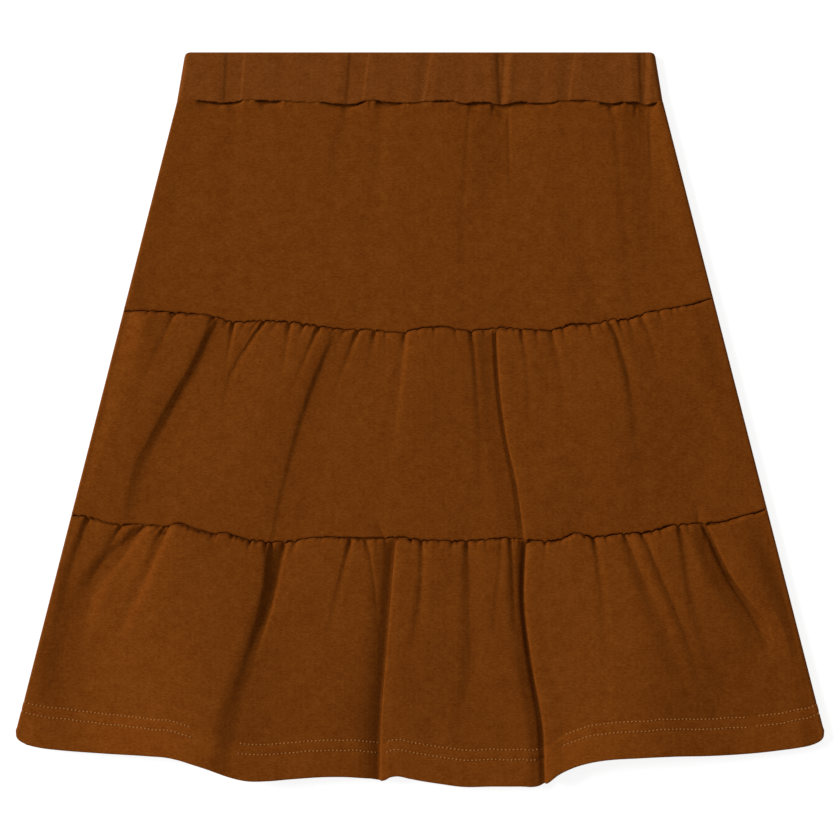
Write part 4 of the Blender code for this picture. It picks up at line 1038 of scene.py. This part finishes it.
class SkirtColours(bpy.types.PropertyGroup):
    """Colours of the cloth and the thread."""
    jersey: FloatVectorProperty(
        name="Jersey", description="Colour of the cloth", default=(0.130, 0.0322, 0.0027), min=0, max=1,
        size=3, subtype="COLOR")
    casing: FloatVectorProperty(
        name="Casing", description="Colour of the waistband's cloth", default=(0.1335, 0.0353, 0.0044),
        min=0, max=1, size=3, subtype="COLOR")
    thread: FloatVectorProperty(
        name="Thread", description="Colour of the hem's thread", default=(0.27, 0.10, 0.022), min=0, max=1,
        size=3, subtype="COLOR")
    slub: FloatProperty(
        name="Slub", description="How strongly the yarn's uneven streaks show", default=0.15, min=0, max=0.3,
        subtype="FACTOR")
    mottle: FloatProperty(
        name="Mottle", description="How strongly the dye's mottling shows", default=0.13, min=0, max=0.3,
        subtype="FACTOR")


class SkirtSetting(bpy.types.PropertyGroup):
    """The light and the camera."""
    camera_height: FloatProperty(
        name="Camera height", description="Height of the camera above the skirt", default=1.3107, min=0.5,
        max=5, unit="LENGTH", precision=4)
    framed_width: FloatProperty(
        name="Framed width", description="Width across the frame at the skirt", default=0.4704, min=0.1,
        max=2, unit="LENGTH", precision=4)
    key_power: FloatProperty(
        name="Key light", description="Power of the large light at the upper left", default=700.0, min=0,
        max=2000, unit="POWER")
    fill_strength: FloatProperty(
        name="Fill", description="Strength of the even light from all round", default=0.40, min=0, max=3)


# ---------------------------------------------------------------- operators


def stand_for(piece, node):
    """Let a piece stand for a node of the frame: attach it to the root and hide the node."""
    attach(piece, "root")
    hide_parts(node)


class SKIRT_OT_make_waistband(bpy.types.Operator):
    """Make the waistband's casing, with the folds that its elastic draws"""
    bl_idname = "skirt.make_waistband"
    bl_label = "Make waistband"

    def execute(self, context):
        points = band_surface(context.scene.skirt_sizes)
        colours = context.scene.skirt_colours
        cloth = jersey("casing jersey", colours.casing, colours)
        piece = cloth_piece("waistband_casing", points, cloth, closed=True)
        stand_for(piece, "waistband")
        thread = sewing_thread("casing thread", [0.75 * part for part in colours.thread])
        tack = smooth_piece("waistband_tack", *tack_stitches(points), thread)
        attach(tack, "root")
        return {"FINISHED"}


class SKIRT_OT_make_back_tiers(bpy.types.Operator):
    """Make the three back panels, which the skirt lies on"""
    bl_idname = "skirt.make_back_tiers"
    bl_label = "Make back tiers"

    def execute(self, context):
        colours = context.scene.skirt_colours
        cloth = jersey("tier jersey", colours.jersey, colours)
        for number, tier in enumerate(TIERS):
            points, rows = back_surface(number, context.scene.skirt_sizes)
            piece = cloth_piece(f"{tier.name}_back_cloth", points, cloth, flipped=True)
            mark_hem_painted_light(piece, tier, rows)
            give_wall(piece, BACK_WALL * MM)
            stand_for(piece, f"{tier.name}_back")
        return {"FINISHED"}


class SKIRT_OT_make_front_tiers(bpy.types.Operator):
    """Make the three front panels, with their gathers and creases"""
    bl_idname = "skirt.make_front_tiers"
    bl_label = "Make front tiers"

    def execute(self, context):
        sizes = context.scene.skirt_sizes
        colours = context.scene.skirt_colours
        cloth = jersey("tier jersey", colours.jersey, colours)
        for number, tier in enumerate(TIERS):
            points, rows = front_surface(number, sizes)
            piece = cloth_piece(f"{tier.name}_front_cloth", points, cloth)
            mark_hem_painted_light(piece, tier, rows)
            give_wall(piece, sizes.cloth_thickness)
            stand_for(piece, f"{tier.name}_front")
        return {"FINISHED"}


class SKIRT_OT_make_hem_stitches(bpy.types.Operator):
    """Sew the hem with two rows of stitches on the front and on the back"""
    bl_idname = "skirt.make_hem_stitches"
    bl_label = "Make hem stitches"

    def execute(self, context):
        sizes = context.scene.skirt_sizes
        thread = sewing_thread("hem thread", context.scene.skirt_colours.thread)
        for side, surface, up in (("front", front_surface, 1), ("back", back_surface, -1)):
            points, rows = surface(len(TIERS) - 1, sizes)
            sewn = [points[(rows[:, 0] == 1) & (rows[:, 2] == above)][0] for above in STITCH_HEIGHTS]
            piece = smooth_piece(f"hem_stitches_{side}", *stitch_rows(sewn, sizes, up), thread)
            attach(piece, "root")
        return {"FINISHED"}


class SKIRT_OT_make_stage(bpy.types.Operator):
    """Set the surface, the light and the camera"""
    bl_idname = "skirt.make_stage"
    bl_label = "Make stage"

    def execute(self, context):
        setting = context.scene.skirt_setting
        mesh = bpy.data.meshes.new("table")
        half, level = 6, -0.2 * MM
        corners = [(-half, -half, level), (half, -half, level), (half, half, level), (-half, half, level)]
        mesh.from_pydata(corners, [], [(0, 1, 2, 3)])
        mesh.materials.append(table_top())
        table = bpy.data.objects.new("table", mesh)
        context.scene.collection.objects.link(table)
        light = bpy.data.lights.new("key", "AREA")
        light.shape = "DISK"
        light.size = 3.4
        light.energy = setting.key_power
        key = bpy.data.objects.new("key", light)
        key.location = (-5.7, 2.1, 3.9)
        key.rotation_euler = (-key.location).to_track_quat("-Z", "Y").to_euler()
        context.scene.collection.objects.link(key)
        world = bpy.data.worlds.new("studio")
        world.use_nodes = True
        world.node_tree.nodes["Background"].inputs["Color"].default_value = (1, 1, 1, 1)
        world.node_tree.nodes["Background"].inputs["Strength"].default_value = setting.fill_strength
        context.scene.world = world
        lens = bpy.data.cameras.new("camera")
        lens.sensor_width = 36
        cloth_level = 4 * MM
        lens.lens = lens.sensor_width * (setting.camera_height - cloth_level) / setting.framed_width
        lens.clip_start, lens.clip_end = 0.05, 20
        camera = bpy.data.objects.new("camera", lens)
        camera.location = (0, -0.0003, setting.camera_height)
        context.scene.collection.objects.link(camera)
        context.scene.camera = camera
        context.scene.view_settings.view_transform = "Standard"
        return {"FINISHED"}


class SKIRT_PT_panel(bpy.types.Panel):
    """The steps that make the skirt"""
    bl_idname = "SKIRT_PT_panel"
    bl_label = "Tiered ruffle skirt"
    bl_space_type = "VIEW_3D"
    bl_region_type = "UI"
    bl_category = "Skirt"

    def draw(self, context):
        for operator in OPERATORS:
            self.layout.operator(operator.bl_idname)


OPERATORS = (SKIRT_OT_make_waistband, SKIRT_OT_make_back_tiers, SKIRT_OT_make_front_tiers,
             SKIRT_OT_make_hem_stitches, SKIRT_OT_make_stage)
CLASSES = (SkirtSizes, SkirtColours, SkirtSetting, *OPERATORS, SKIRT_PT_panel)


def register():
    """Add the settings, the operators and the panel."""
    for kind in CLASSES:
        bpy.utils.register_class(kind)
    bpy.types.Scene.skirt_sizes = PointerProperty(type=SkirtSizes)
    bpy.types.Scene.skirt_colours = PointerProperty(type=SkirtColours)
    bpy.types.Scene.skirt_setting = PointerProperty(type=SkirtSetting)


def unregister():
    """Take them away again."""
    del bpy.types.Scene.skirt_setting
    del bpy.types.Scene.skirt_colours
    del bpy.types.Scene.skirt_sizes
    for kind in reversed(CLASSES):
        bpy.utils.unregister_class(kind)


def main():
    """Make the skirt and its setting."""
    register()
    bpy.ops.skirt.make_waistband()
    bpy.ops.skirt.make_back_tiers()
    bpy.ops.skirt.make_front_tiers()
    bpy.ops.skirt.make_hem_stitches()
    bpy.ops.skirt.make_stage()


if __name__ == "__main__":
    main()
